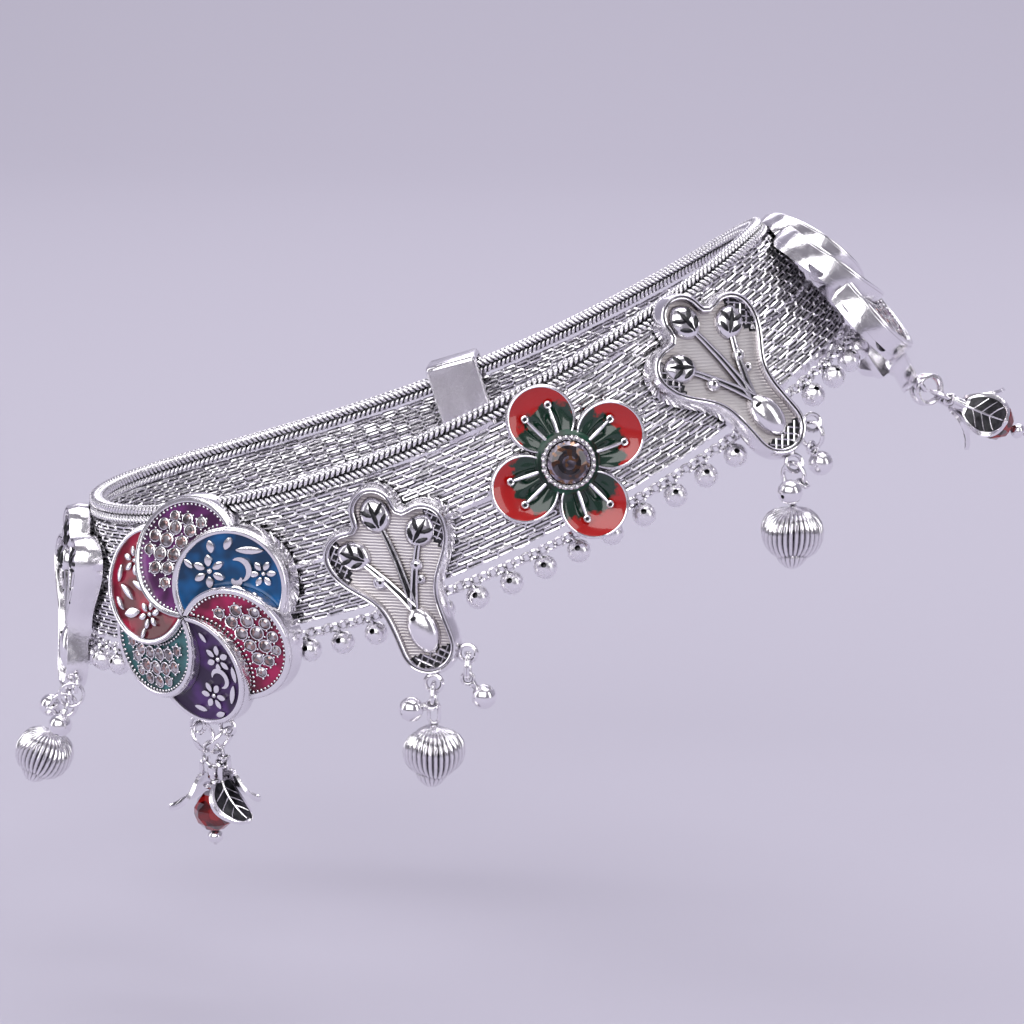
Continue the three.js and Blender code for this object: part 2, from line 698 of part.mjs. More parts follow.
// A petal whose small eye goes round the pin's large one.
function petalOnEye(centre, { wireTurn, sideTurn, azimuth }) {
  const turn = degrees(wireTurn);
  const radial = new THREE.Vector3(Math.cos(turn), 0, Math.sin(turn));
  const place = radial.clone().multiplyScalar(pinEye.radius).add(centre);
  const axis = new THREE.Vector3(-radial.z, 0, radial.x);
  const quaternion = new THREE.Quaternion().setFromUnitVectors(new THREE.Vector3(0, 0, 1), axis);
  const ring = wireRing(petalEye).applyQuaternion(quaternion).translate(place.x, place.y, place.z);
  const side = degrees(sideTurn);
  const root = radial.multiplyScalar(petalEye.radius * Math.cos(side)).add(place);
  root.y += petalEye.radius * Math.sin(side);
  const petal = tulipPetal().rotateZ(degrees(azimuth)).translate(root.x, root.y, root.z);
  return toGeometry(join([ring, petal]));
}

function tulipDrop(name, tops, down, petals) {
  const middle = tops[0].clone().add(tops[1]).multiplyScalar(0.5);
  const along = tops[1].clone().sub(tops[0]);
  const frame = hangingFrame(middle, along, down);
  const spacing = along.length() / 2;
  const lean = Math.asin((spacing - ringsApart) / (2 * tulipRing.radius));
  addPiece(frame, `${name}_ring_a`, hangingRing(tulipRing, -lean).translate(-spacing, 0, 0), looks.silver);
  addPiece(frame, `${name}_ring_b`, hangingRing(tulipRing, lean).translate(spacing, 0, 0), looks.silver);
  const centre = new THREE.Vector3(0, 0, -2 * tulipRing.radius * Math.cos(lean) - pinEyeDrop);
  const shoulder = centre.z - pinEye.radius;
  const pin = hangingTurned(pinProfile, shoulder, pinSides);
  const top = wireRing(pinEye).rotateX(Math.PI / 2).translate(0, 0, centre.z);
  addPiece(frame, `${name}_pin`, toGeometry(join([top, pin])), looks.silver);
  addPiece(frame, `${name}_bead`, hangingTurned(beadProfile, shoulder, beadSides), looks.bead);
  petals.forEach((petal, k) => {
    addPiece(frame, `${name}_petal_${k + 1}`, petalOnEye(centre, petal), looks.silver);
  });
}

// Assembly.

bandStrands();
ballFringe();
clasp();
fourPetalFlower();
const sideTops = pinwheelFlower('side_flower', stations.sideFlower);
const frontTops = pinwheelFlower('front_flower', stations.frontFlower);
const heelTops = filigreePlaque('heel_plaque', stations.heelPlaque);
const nearTops = filigreePlaque('near_plaque', stations.nearPlaque);
const instepTops = filigreePlaque('instep_plaque', stations.instepPlaque);
const plumb = new THREE.Vector3(0, 0, -1);
budDrop('heel_drop', heelTops, new THREE.Vector3(-0.42, -0.1, -1));
budDrop('near_drop', nearTops, plumb);
budDrop('instep_drop', instepTops, plumb);
tulipDrop('side_tulip', sideTops, plumb, sidePetals);
tulipDrop('front_tulip', frontTops, new THREE.Vector3(1, 0.1, -0.46), frontPetals);

export default anklet;
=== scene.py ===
"""The visible surface of a payal anklet: woven silver chain, enamelled flowers, plaques and drops."""

import math
import random

import bmesh
import bpy
from mathutils import Matrix, Vector
from mathutils.bvhtree import BVHTree


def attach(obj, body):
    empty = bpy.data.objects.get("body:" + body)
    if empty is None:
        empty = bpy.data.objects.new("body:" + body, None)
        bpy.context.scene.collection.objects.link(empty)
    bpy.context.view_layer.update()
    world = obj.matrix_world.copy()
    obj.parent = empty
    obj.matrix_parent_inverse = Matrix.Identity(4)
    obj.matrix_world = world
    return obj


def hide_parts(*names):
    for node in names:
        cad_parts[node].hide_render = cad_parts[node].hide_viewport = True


bl_info = {
    "name": "Payal anklet",
    "version": (1, 0, 0),
    "blender": (4, 5, 0),
    "location": "View3D > Sidebar > Anklet",
    "description": "Makes the visible surface of a woven payal anklet over its solids",
    "category": "Add Mesh",
}

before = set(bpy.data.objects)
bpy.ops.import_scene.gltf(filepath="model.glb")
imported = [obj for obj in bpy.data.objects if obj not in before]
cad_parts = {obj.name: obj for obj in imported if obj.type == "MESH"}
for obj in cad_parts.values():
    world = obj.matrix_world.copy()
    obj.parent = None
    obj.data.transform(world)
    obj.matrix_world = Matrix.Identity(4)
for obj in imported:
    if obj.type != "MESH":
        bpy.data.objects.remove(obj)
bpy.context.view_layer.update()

# Lengths below are millimetres, and meshes are made in metres.
MM = 0.001

# The band's loop. Angle 0 is the near side, 90 degrees the front of the ankle.
LOOP = {"half_length": 40.8, "half_width": 28, "middle_x": -1.5, "height": 5.1}
RISE = {"front": 16.8, "ends": 6.2, "twist": 0.7}
FLARE = {"near": 5.2, "front": 6.85, "both": -0.35, "side": 1.1, "height": 17.4}
BAND_FACE = 1.15
FRINGE_FACE = 1.6
FRINGE_START = 17

# Motifs on the band: angle round the loop, distance down from the top edge, turn.
STATIONS = {
    "heel_plaque": (-72.5, 13.3, 11.6),
    "side_flower": (-32.4, 12.9, -14.5),
    "near_plaque": (-0.9, 15.2, 6.1),
    "four_petal": (24.6, 10.1, 5.7),
    "instep_plaque": (51.2, 12.4, 6.7),
    "front_flower": (97.4, 14.6, 95),
}

# Six-petal pinwheel flower.
PETAL_NAMES = ("purple", "blue", "pink", "violet", "teal", "red")
FIRST_AXIS = 105
PETAL_RADIUS = 7
PETAL_REACH = 6.8
CROWN = 5.9
WALL_HEIGHT = 3.2
OUTWARD_SLOPE = math.tan(math.radians(14))
SIDE_SLOPE = math.tan(math.radians(6))
PETAL_OVERLAP = 0.35
GALLERY_ANGLES = (-26, 0, 26, 154, 180, 206)
GALLERY_HEIGHT = 0.45
GALLERY_NARROWING = 0.62
FLOWER_EYELET_HEIGHT = 2.05

# Flower with four petals and a stone.
CLOVER_RADIUS = 4
CLOVER_REACH = 5.7
CLOVER_TOP = 2.9
CLOVER_FLOOR = 1.8
BEZEL_RADIUS = 3.15
BEZEL_TOP = 4.2
STONE_RADIUS = 2.45

# Filigree plaque.
SIDE_LOBE = (4.7, 5.3, 3.3)
TOP_LOBE = (9.2, 3.1)
WAIST = (4.3, -1.5)
TAIL = (-7.5, 3.7)
PLAQUE_EYELETS = ((-1.3, -11.9, 2.5), (3.8, -10.05, 2.5))
PLAQUE_TOP = 3.6
PLAQUE_FLOOR = 2.7

# Rings, eyes and drops.
EYELET = (1.0, 0.27)
JUMP_RING = (1.5, 0.3)
TULIP_RING = (1.75, 0.3)
DROP_EYE = (0.68, 0.22)
PIN_EYE = (1.5, 0.27)
PETAL_EYE = (0.6, 0.2)
DROP_BALL = 1.45
SIDE_PETALS = ((215, 0, 190), (318, -60, -4), (356, 60, 72))
FRONT_PETALS = ((215, 0, 180), (318, -60, -50), (356, 60, 62))


# The loop's surface.

def top_edge(angle):
    s = math.sin(angle)
    height = LOOP["height"] + RISE["front"] * s + RISE["ends"] * s * s + RISE["twist"] * s ** 3
    x = LOOP["middle_x"] + LOOP["half_length"] * s
    return Vector((x, -LOOP["half_width"] * math.cos(angle), height))


def way_down(angle):
    s = math.sin(angle)
    x = FLARE["near"] + FLARE["front"] * s + FLARE["both"] * s * s
    y = -FLARE["side"] * math.cos(angle)
    z = -math.sqrt(FLARE["height"] ** 2 - x * x - y * y)
    return Vector((x, y, z)) / FLARE["height"]


def on_middle(angle, down):
    return top_edge(angle) + way_down(angle) * down


def way_along(angle, down):
    step = 0.001
    return (on_middle(angle + step, down) - on_middle(angle - step, down)).normalized()


def way_out(angle, down):
    return way_down(angle).cross(way_along(angle, down)).normalized()


def on_band(angle, down, out):
    return on_middle(angle, down) + way_out(angle, down) * out


def even_angles(down, count, shift=0.0):
    """Angles that lie evenly along the loop at a distance down from its top edge."""
    samples = 1440
    angles = [2 * math.pi * i / samples for i in range(samples + 1)]
    points = [on_middle(angle, down) for angle in angles]
    lengths = [0.0]
    for before, after in zip(points, points[1:]):
        lengths.append(lengths[-1] + (after - before).length)
    found = []
    place = 0
    for k in range(count):
        wanted = lengths[-1] * (k + shift) / count
        while lengths[place + 1] < wanted:
            place += 1
        part = (wanted - lengths[place]) / (lengths[place + 1] - lengths[place])
        found.append(angles[place] + part * (angles[place + 1] - angles[place]))
    return found


def axes_matrix(x_axis, y_axis, z_axis, origin):
    turned = Matrix((x_axis, y_axis, z_axis)).transposed().to_4x4()
    turned.translation = origin
    return turned


def motif_matrix(station):
    """Where a motif stands: x along the band to the toes, y up the band, z out of it."""
    angle, down, turn = station
    theta = math.radians(angle)
    out = way_out(theta, down)
    up = -way_down(theta)
    along = up.cross(out).normalized()
    return axes_matrix(along, up, out, on_middle(theta, down)) @ Matrix.Rotation(math.radians(turn), 4, "Z")


def hanging_matrix(top, along, down):
    """A drop's frame: z up the hanging direction, x along the band and y to the back."""
    up = -down.normalized()
    back = up.cross(along).normalized()
    return axes_matrix(back.cross(up).normalized(), back, up, top)


class Seat:
    """The band's face under a motif, as a height in the motif's frame."""

    def __init__(self, station):
        centre, middle, _ = station
        inverse = motif_matrix(station).inverted()
        steps = 36
        points = []
        for i in range(steps + 1):
            angle = math.radians(centre - 62 + 124 * i / steps)
            for j in range(steps + 1):
                down = middle - 20 + 40 * j / steps
                face = BAND_FACE if down < FRINGE_START else FRINGE_FACE
                points.append(inverse @ on_band(angle, down, face))
        row = steps + 1
        faces = [
            (i * row + j, i * row + j + 1, (i + 1) * row + j + 1, (i + 1) * row + j)
            for i in range(steps) for j in range(steps)
        ]
        self.tree = BVHTree.FromPolygons(points, faces)

    def height(self, x, y):
        hit = self.tree.ray_cast(Vector((x, y, 15)), Vector((0, 0, -1)))[0]
        return hit.z if hit else 0.0


# Points and faces.

class Pile:
    """The points and faces of one piece, in millimetres, with a finish number for each face."""

    def __init__(self):
        self.points = []
        self.faces = []
        self.finishes = []

    def put(self, shape, place=None, finish=0):
        points, faces = shape
        first = len(self.points)
        self.points += [place @ point for point in points] if place else points
        self.faces += [[first + corner for corner in face] for face in faces]
        self.finishes += [finish] * len(faces)


def loft(rings, closed=False):
    """Faces between rings of equal length. Unless it closes on itself, each end is drawn to a point."""
    if not closed:
        first = sum(rings[0], Vector()) / len(rings[0])
        last = sum(rings[-1], Vector()) / len(rings[-1])
        rings = [[first] * len(rings[0]), *rings, [last] * len(rings[-1])]
    count = len(rings[0])
    points = [point.copy() for ring in rings for point in ring]
    faces = []
    spans = len(rings) if closed else len(rings) - 1
    for i in range(spans):
        here = i * count
        there = ((i + 1) % len(rings)) * count
        for j in range(count):
            after = (j + 1) % count
            faces.append((here + j, here + after, there + after, there + j))
    return points, faces


def lathe(profile, sides, closed=False):
    """A profile of (radius, height) turned about z."""
    turns = [2 * math.pi * k / sides for k in range(sides)]
    rings = [[Vector((r * math.cos(t), r * math.sin(t), z)) for t in turns] for r, z in profile]
    return loft(rings, closed)


def sweep(path, radius, sides=6, closed=False):
    """A wire along a path. Its radius is a number, or a list with one for each point."""
    radii = radius if isinstance(radius, (list, tuple)) else [radius] * len(path)
    count = len(path)
    rings = []
    normal = None
    for i, point in enumerate(path):
        before = path[(i - 1) % count] if closed or i else path[0]
        after = path[(i + 1) % count] if closed or i < count - 1 else path[-1]
        forward = (after - before).normalized()
        if normal is None:
            normal = forward.orthogonal()
        normal = (normal - forward * normal.dot(forward)).normalized()
        side = forward.cross(normal)
        turns = [2 * math.pi * k / sides for k in range(sides)]
        rings.append([point + (normal * math.cos(t) + side * math.sin(t)) * radii[i] for t in turns])
    return loft(rings, closed)


def wire_ring(size, segments=24, sides=8):
    radius, wire = size
    turns = [2 * math.pi * k / segments for k in range(segments)]
    path = [Vector((radius * math.cos(t), radius * math.sin(t), 0)) for t in turns]
    return sweep(path, wire, sides, closed=True)


def ball(radius, sides=16, rows=10, hole=0.0):
    """A ball, with a drilled hole at its top where one is given."""
    start = math.asin(hole / radius) if hole else 0.0
    turns = [start + (math.pi - start) * k / rows for k in range(rows + 1)]
    profile = [(radius * math.sin(t), radius * math.cos(t)) for t in turns]
    if hole:
        profile = [(hole * 0.6, radius * 0.5), (hole * 0.85, radius * 0.9), *profile]
    return lathe(profile, sides)


def dome(length, width, height, sides=14, pointed=0.0, flat=0.0):
    """A low mound with its length along x, pointed like a leaf and flat on top where those are above 0."""
    rings = []
    profile = ((1, -0.3), (1, 0.5 * flat), (0.82 + 0.1 * flat, 0.62 + 0.25 * flat), (0.5 + 0.2 * flat, 0.95))
    for spread, lift in profile:
        ring = []
        for k in range(sides):
            t = 2 * math.pi * k / sides
            across = math.sin(t) * (1 - pointed * abs(math.cos(t)) ** 2)
            half = spread * length / 2, spread * width / 2
            ring.append(Vector((half[0] * math.cos(t), half[1] * across, lift * height)))
        rings.append(ring)
    points, faces = loft(rings)
    for point in points[-sides:]:
        point.z = height
    return points, faces


def bezier(points, steps):
    a, b, c, d = (Vector(point) for point in points)
    made = []
    for k in range(steps):
        t = k / steps
        s = 1 - t
        made.append(a * s ** 3 + b * 3 * s * s * t + c * 3 * s * t * t + d * t ** 3)
    return made


# Pieces.

def scene_link(obj):
    bpy.context.scene.collection.objects.link(obj)
    return obj


def finish_piece(obj, nodes, sharp=35):
    obj.data.shade_smooth()
    obj.data.set_sharp_from_angle(angle=math.radians(sharp))
    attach(obj, "root")
    if nodes:
        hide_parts(*nodes)
    return obj


def make_piece(name, pile, finishes, nodes, sharp=35, values=None):
    """One piece from its points and faces. Values is a number for each point, kept as an attribute."""
    mesh = bpy.data.meshes.new(name)
    mesh.from_pydata([point * MM for point in pile.points], [], pile.faces)
    for finish in finishes:
        mesh.materials.append(finish)
    mesh.polygons.foreach_set("material_index", pile.finishes)
    if values:
        tone = mesh.attributes.new("tone", "FLOAT", "POINT")
        tone.data.foreach_set("value", values)
    work = bmesh.new()
    work.from_mesh(mesh)
    bmesh.ops.remove_doubles(work, verts=work.verts, dist=1e-7)
    bmesh.ops.recalc_face_normals(work, faces=work.faces)
    work.to_mesh(mesh)
    work.free()
    obj = scene_link(bpy.data.objects.new(name, mesh))
    return finish_piece(obj, nodes, sharp)


# Node trees for what repeats.

def add_node(tree, kind, settings=None, inputs=None):
    made = tree.nodes.new(kind)
    for name, value in (settings or {}).items():
        setattr(made, name, value)
    for name, value in (inputs or {}).items():
        socket = made.inputs[name]
        if isinstance(value, bpy.types.NodeSocket):
            tree.links.new(value, socket)
        else:
            socket.default_value = value
    return made


def oval_link(tree, sizes):
    """A long link bent from wire, with rounded corners."""
    bar = add_node(tree, "GeometryNodeCurvePrimitiveQuadrilateral", inputs={
        "Width": sizes["Length"], "Height": sizes["Height"]})
    half = add_node(tree, "ShaderNodeMath", {"operation": "MULTIPLY"})
    tree.links.new(sizes["Height"], half.inputs[0])
    half.inputs[1].default_value = 0.48
    bent = add_node(tree, "GeometryNodeFilletCurve", {"mode": "POLY"}, {
        "Curve": bar.outputs["Curve"], "Count": sizes["Corner steps"], "Radius": half.outputs[0],
        "Limit Radius": True})
    wire = add_node(tree, "GeometryNodeCurvePrimitiveCircle", inputs={
        "Resolution": sizes["Wire sides"], "Radius": sizes["Wire"]})
    link = add_node(tree, "GeometryNodeCurveToMesh", inputs={
        "Curve": bent.outputs["Curve"], "Profile Curve": wire.outputs["Curve"]})
    return link.outputs["Mesh"]


def round_ring(tree, sizes):
    """A small round ring of wire."""
    circle = add_node(tree, "GeometryNodeCurvePrimitiveCircle", inputs={
        "Resolution": 12, "Radius": sizes["Radius"]})
    wire = add_node(tree, "GeometryNodeCurvePrimitiveCircle", inputs={
        "Resolution": 5, "Radius": sizes["Wire"]})
    ring = add_node(tree, "GeometryNodeCurveToMesh", inputs={
        "Curve": circle.outputs["Curve"], "Profile Curve": wire.outputs["Curve"]})
    return ring.outputs["Mesh"]


def long_grain(tree, sizes):
    """A grain of metal, longer than it is wide."""
    ball_node = add_node(tree, "GeometryNodeMeshUVSphere", inputs={"Segments": 6, "Rings": 5, "Radius": 0.5})
    scale = add_node(tree, "ShaderNodeCombineXYZ", inputs={
        "X": sizes["Length"], "Y": sizes["Width"], "Z": sizes["Thickness"]})
    grain = add_node(tree, "GeometryNodeTransform", inputs={
        "Geometry": ball_node.outputs["Mesh"], "Scale": scale.outputs["Vector"]})
    return grain.outputs["Geometry"]


def given_shape(tree, sizes):
    """A shape that the script made, such as a cut stone."""
    shape = add_node(tree, "GeometryNodeObjectInfo", inputs={"Object": sizes["Shape"]})
    return shape.outputs["Geometry"]


def repeat_tree(name, shape, sizes, two_finishes=False):
    """A tree that sets one shape on each point, along the point's own directions."""
    tree = bpy.data.node_groups.new(name, "GeometryNodeTree")
    interface = tree.interface
    interface.new_socket("Geometry", in_out="INPUT", socket_type="NodeSocketGeometry")
    interface.new_socket("Geometry", in_out="OUTPUT", socket_type="NodeSocketGeometry")
    for size, value in sizes.items():
        kind = "NodeSocketObject" if size == "Shape" else "NodeSocketFloat"
        socket = interface.new_socket(size, in_out="INPUT", socket_type=kind)
        if kind == "NodeSocketFloat":
            socket.default_value = value
    interface.new_socket("Finish", in_out="INPUT", socket_type="NodeSocketMaterial")
    interface.new_socket("Hollow finish", in_out="INPUT", socket_type="NodeSocketMaterial")
    start = add_node(tree, "NodeGroupInput")
    made = shape(tree, {size: start.outputs[size] for size in sizes})
    along = add_node(tree, "GeometryNodeInputNamedAttribute", {"data_type": "FLOAT_VECTOR"}, {
        "Name": "along"})
    out = add_node(tree, "GeometryNodeInputNamedAttribute", {"data_type": "FLOAT_VECTOR"}, {"Name": "out"})
    size = add_node(tree, "GeometryNodeInputNamedAttribute", {"data_type": "FLOAT"}, {"Name": "size"})
    turn = add_node(tree, "FunctionNodeAxesToRotation", {"primary_axis": "Z", "secondary_axis": "X"}, {
        "Primary Axis": out.outputs["Attribute"], "Secondary Axis": along.outputs["Attribute"]})
    copies = add_node(tree, "GeometryNodeInstanceOnPoints", inputs={
        "Points": start.outputs["Geometry"], "Instance": made, "Rotation": turn.outputs["Rotation"],
        "Scale": size.outputs["Attribute"]})
    real = add_node(tree, "GeometryNodeRealizeInstances", inputs={"Geometry": copies.outputs["Instances"]})
    finish = add_node(tree, "GeometryNodeSetMaterial", inputs={
        "Geometry": real.outputs["Geometry"], "Material": start.outputs["Finish"]})
    if two_finishes:
        hollow = add_node(tree, "GeometryNodeInputNamedAttribute", {"data_type": "BOOLEAN"}, {
            "Name": "hollow"})
        finish = add_node(tree, "GeometryNodeSetMaterial", inputs={
            "Geometry": finish.outputs["Geometry"], "Selection": hollow.outputs["Attribute"],
            "Material": start.outputs["Hollow finish"]})
    end = add_node(tree, "NodeGroupOutput")
    tree.links.new(finish.outputs["Geometry"], end.inputs["Geometry"])
    return tree


def repeat(name, tree, places, values, nodes, sharp=60):
    """Grows a tree on places, each (point, along, out, size), and keeps the result as a plain mesh."""
    mesh = bpy.data.meshes.new(name)
    mesh.from_pydata([place[0] * MM for place in places], [], [])
    for column, attribute_name in ((1, "along"), (2, "out")):
        attribute = mesh.attributes.new(attribute_name, "FLOAT_VECTOR", "POINT")
        attribute.data.foreach_set("vector", [number for place in places for number in place[column]])
    size = mesh.attributes.new("size", "FLOAT", "POINT")
    size.data.foreach_set("value", [place[3] for place in places])
    obj = scene_link(bpy.data.objects.new(name, mesh))
    modifier = obj.modifiers.new("Pattern", "NODES")
    modifier.node_group = tree
    for item in tree.interface.items_tree:
        if item.item_type == "SOCKET" and item.in_out == "INPUT" and item.name in values:
            modifier[item.identifier] = values[item.name]
    graph = bpy.context.evaluated_depsgraph_get()
    grown = bpy.data.meshes.new_from_object(obj.evaluated_get(graph))
    obj.modifiers.remove(modifier)
    obj.data = grown
    return finish_piece(obj, nodes, sharp)


def shape_object(name, shape, hollow=()):
    """An unlinked object for a tree to repeat. Hollow lists the faces that take the hollow's finish."""
    points, faces = shape
    mesh = bpy.data.meshes.new(name)
    mesh.from_pydata([point * MM for point in points], [], faces)
    flags = mesh.attributes.new("hollow", "BOOLEAN", "FACE")
    flags.data.foreach_set("value", [k in hollow for k in range(len(faces))])
    work = bmesh.new()
    work.from_mesh(mesh)
    bmesh.ops.remove_doubles(work, verts=work.verts, dist=1e-7)
    bmesh.ops.recalc_face_normals(work, faces=work.faces)
    work.to_mesh(mesh)
    work.free()
    return bpy.data.objects.new(name, mesh)


# Finishes.

def new_finish(name):
    material = bpy.data.materials.new(name)
    material.use_nodes = True
    return material, material.node_tree, material.node_tree.nodes["Principled BSDF"]


def object_noise(tree, scale, detail=2.0):
    """Noise on the object's own coordinates. The scale is in grains for each metre."""
    place = add_node(tree, "ShaderNodeTexCoord")
    noise = add_node(tree, "ShaderNodeTexNoise", inputs={
        "Vector": place.outputs["Object"], "Scale": scale, "Detail": detail})
    return noise.outputs["Fac"]


def spread(tree, source, low, high, start=0.35, end=0.65):
    """Spreads a noise between two numbers."""
    mapped = add_node(tree, "ShaderNodeMapRange", inputs={
        "Value": source, "From Min": start, "From Max": end, "To Min": low, "To Max": high})
    return mapped.outputs["Result"]


def mix_colours(tree, factor, first, second):
    mixed = tree.nodes.new("ShaderNodeMix")
    mixed.data_type = "RGBA"
    colours = [socket for socket in mixed.inputs if socket.type == "RGBA"]
    factors = [socket for socket in mixed.inputs if socket.type == "VALUE"]
    tree.links.new(factor, factors[0])
    for socket, value in zip(colours, (first, second)):
        if isinstance(value, bpy.types.NodeSocket):
            tree.links.new(value, socket)
        else:
            socket.default_value = (*value, 1)
    return next(socket for socket in mixed.outputs if socket.type == "RGBA")


def silver_finish(name, colour, dark, roughness, grain, bump, reach=0.9):
    """Bright plate with painted shade in its recesses. Reach is how far the painted shade spreads, in
    millimetres.
    """
    material, tree, shader = new_finish(name)
    # Ambient occlusion mixes the dark colour into the recesses: painted shade.
    shelter = add_node(tree, "ShaderNodeAmbientOcclusion", {"samples": 1}, {"Distance": reach * MM})
    painted_shade = spread(tree, shelter.outputs["AO"], 0.0, 1.0, 0.1, 0.5)
    tree.links.new(mix_colours(tree, painted_shade, dark, colour), shader.inputs["Base Color"])
    shader.inputs["Metallic"].default_value = 1.0
    wear = object_noise(tree, grain)
    tree.links.new(spread(tree, wear, roughness * 0.7, roughness * 1.4), shader.inputs["Roughness"])
    fine = object_noise(tree, grain * 3, 3.0)
    bumps = add_node(tree, "ShaderNodeBump", inputs={"Strength": bump, "Distance": 0.00005, "Height": fine})
    tree.links.new(bumps.outputs["Normal"], shader.inputs["Normal"])
    return material


def satin_finish(name):
    """Fine parallel lines on a plaque's floor, with painted brown shade in the corners."""
    material, tree, shader = new_finish(name)
    # Ambient occlusion mixes brown into the corners: painted shade.
    shelter = add_node(tree, "ShaderNodeAmbientOcclusion", {"samples": 1}, {"Distance": 0.0016})
    painted_shade = spread(tree, shelter.outputs["AO"], 0.0, 1.0, 0.3, 0.85)
    shade = mix_colours(tree, painted_shade, (0.16, 0.12, 0.1), (0.62, 0.59, 0.6))
    tree.links.new(shade, shader.inputs["Base Color"])
    shader.inputs["Metallic"].default_value = 0.85
    shader.inputs["Roughness"].default_value = 0.36
    place = add_node(tree, "ShaderNodeTexCoord")
    lines = add_node(tree, "ShaderNodeTexWave", {"bands_direction": "Z"}, {
        "Vector": place.outputs["Object"], "Scale": 900.0, "Distortion": 1.5, "Detail": 1.0})
    ridges = add_node(tree, "ShaderNodeBump", inputs={
        "Strength": 0.5, "Distance": 0.00006, "Height": lines.outputs["Fac"]})
    tree.links.new(ridges.outputs["Normal"], shader.inputs["Normal"])
    return material


def dark_finish(name):
    """Near-black painted shade on the silver in cuts and holes."""
    material, tree, shader = new_finish(name)
    tone = spread(tree, object_noise(tree, 1500), 0.0, 1.0)
    shade = mix_colours(tree, tone, (0.006, 0.006, 0.008), (0.035, 0.034, 0.04))
    tree.links.new(shade, shader.inputs["Base Color"])
    shader.inputs["Metallic"].default_value = 0.5
    shader.inputs["Roughness"].default_value = 0.32
    return material


def enamel_finish(name, deep, bright):
    """Glassy enamel that runs between deep and bright in noise patches, which stand for where it's thicker.
    """
    material, tree, shader = new_finish(name)
    pooled = spread(tree, object_noise(tree, 380, 1.0), 0.0, 1.0, 0.42, 0.66)
    tree.links.new(mix_colours(tree, pooled, deep, bright), shader.inputs["Base Color"])
    shader.inputs["Roughness"].default_value = 0.3
    shader.inputs["Specular IOR Level"].default_value = 0.25
    shader.inputs["Coat Weight"].default_value = 0.5
    shader.inputs["Coat Roughness"].default_value = 0.04
    ripples = add_node(tree, "ShaderNodeBump", inputs={
        "Strength": 0.35, "Distance": 0.0001, "Height": object_noise(tree, 700, 1.0)})
    tree.links.new(ripples.outputs["Normal"], shader.inputs["Coat Normal"])
    return material


def clover_finish(name, outer, inner):
    """Red enamel that runs into dark green towards the stone, by the piece's tone."""
    material, tree, shader = new_finish(name)
    tone = add_node(tree, "ShaderNodeAttribute", {"attribute_name": "tone"})
    stir = spread(tree, object_noise(tree, 900, 2.0), -0.16, 0.16, 0.3, 0.7)
    stirred = add_node(tree, "ShaderNodeMath", {"operation": "ADD"})
    tree.links.new(tone.outputs["Fac"], stirred.inputs[0])
    tree.links.new(stir, stirred.inputs[1])
    edge = spread(tree, stirred.outputs[0], 0.0, 1.0, 0.44, 0.56)
    tree.links.new(mix_colours(tree, edge, inner, outer), shader.inputs["Base Color"])
    shader.inputs["Roughness"].default_value = 0.25
    shader.inputs["Specular IOR Level"].default_value = 0.3
    shader.inputs["Coat Weight"].default_value = 1.0
    shader.inputs["Coat Roughness"].default_value = 0.02
    return material


def stone_finish(name, light, dark, warm, scale):
    """A foil-backed stone: grey tones with warm sparks, each facet with one of its own."""
    material, tree, shader = new_finish(name)
    tone = spread(tree, object_noise(tree, scale, 0.0), 0.0, 1.0, 0.4, 0.6)
    grey = mix_colours(tree, tone, dark, light)
    sparks = spread(tree, object_noise(tree, scale * 1.9, 0.0), 0.0, 1.0, 0.56, 0.62)
    tree.links.new(mix_colours(tree, sparks, grey, warm), shader.inputs["Base Color"])
    shader.inputs["Metallic"].default_value = 0.7
    shader.inputs["Roughness"].default_value = 0.08
    shader.inputs["Coat Weight"].default_value = 1.0
    shader.inputs["Coat Roughness"].default_value = 0.01
    return material


def floor_finish(name, colour):
    """Matt paper that also glows a little, so that it looks even from near to far."""
    material, _, shader = new_finish(name)
    shader.inputs["Base Color"].default_value = (*colour, 1)
    shader.inputs["Roughness"].default_value = 0.85
    shader.inputs["Emission Color"].default_value = (*colour, 1)
    shader.inputs["Emission Strength"].default_value = 0.8
    return material


def kept(name, make):
    """A finish that is made once and then shared."""
    return bpy.data.materials.get(name) or make(name)


def silver():
    tint = tuple(bpy.context.scene.anklet_colours.silver)
    return kept("cast silver plate", lambda name: silver_finish(
        name, tint, (0.16, 0.15, 0.165), 0.16, 900, 0.3))


def chain_silver():
    tint = tuple(bpy.context.scene.anklet_colours.silver)
    return kept("chain silver plate", lambda name: silver_finish(
        name, tint, (0.05, 0.05, 0.055), 0.24, 1500, 0.2, 0.45))


def satin_silver():
    return kept("satin silver floor", satin_finish)


# Near-black painted shade for cuts, grooves and holes.
def black_shade():
    return kept("blackened silver", dark_finish)


def enamel(colour_name):
    colours = bpy.context.scene.anklet_colours
    bright = tuple(getattr(colours, colour_name))
    deep = tuple(0.28 * part for part in bright)
    return kept(colour_name + " enamel", lambda name: enamel_finish(name, deep, bright))


def pave_stone():
    return kept("small foil-backed stones", lambda name: stone_finish(
        name, (0.5, 0.47, 0.5), (0.12, 0.1, 0.11), (0.34, 0.2, 0.19), 1100))


# Sizes and colours that a user would change.

def length(label, description, millimetres):
    return bpy.props.FloatProperty(
        name=label, description=description, default=millimetres * MM, min=0.0, unit="LENGTH", precision=5)


def colour(label, description, value):
    return bpy.props.FloatVectorProperty(
        name=label, description=description, default=value, size=3, min=0.0, max=1.0, subtype="COLOR")


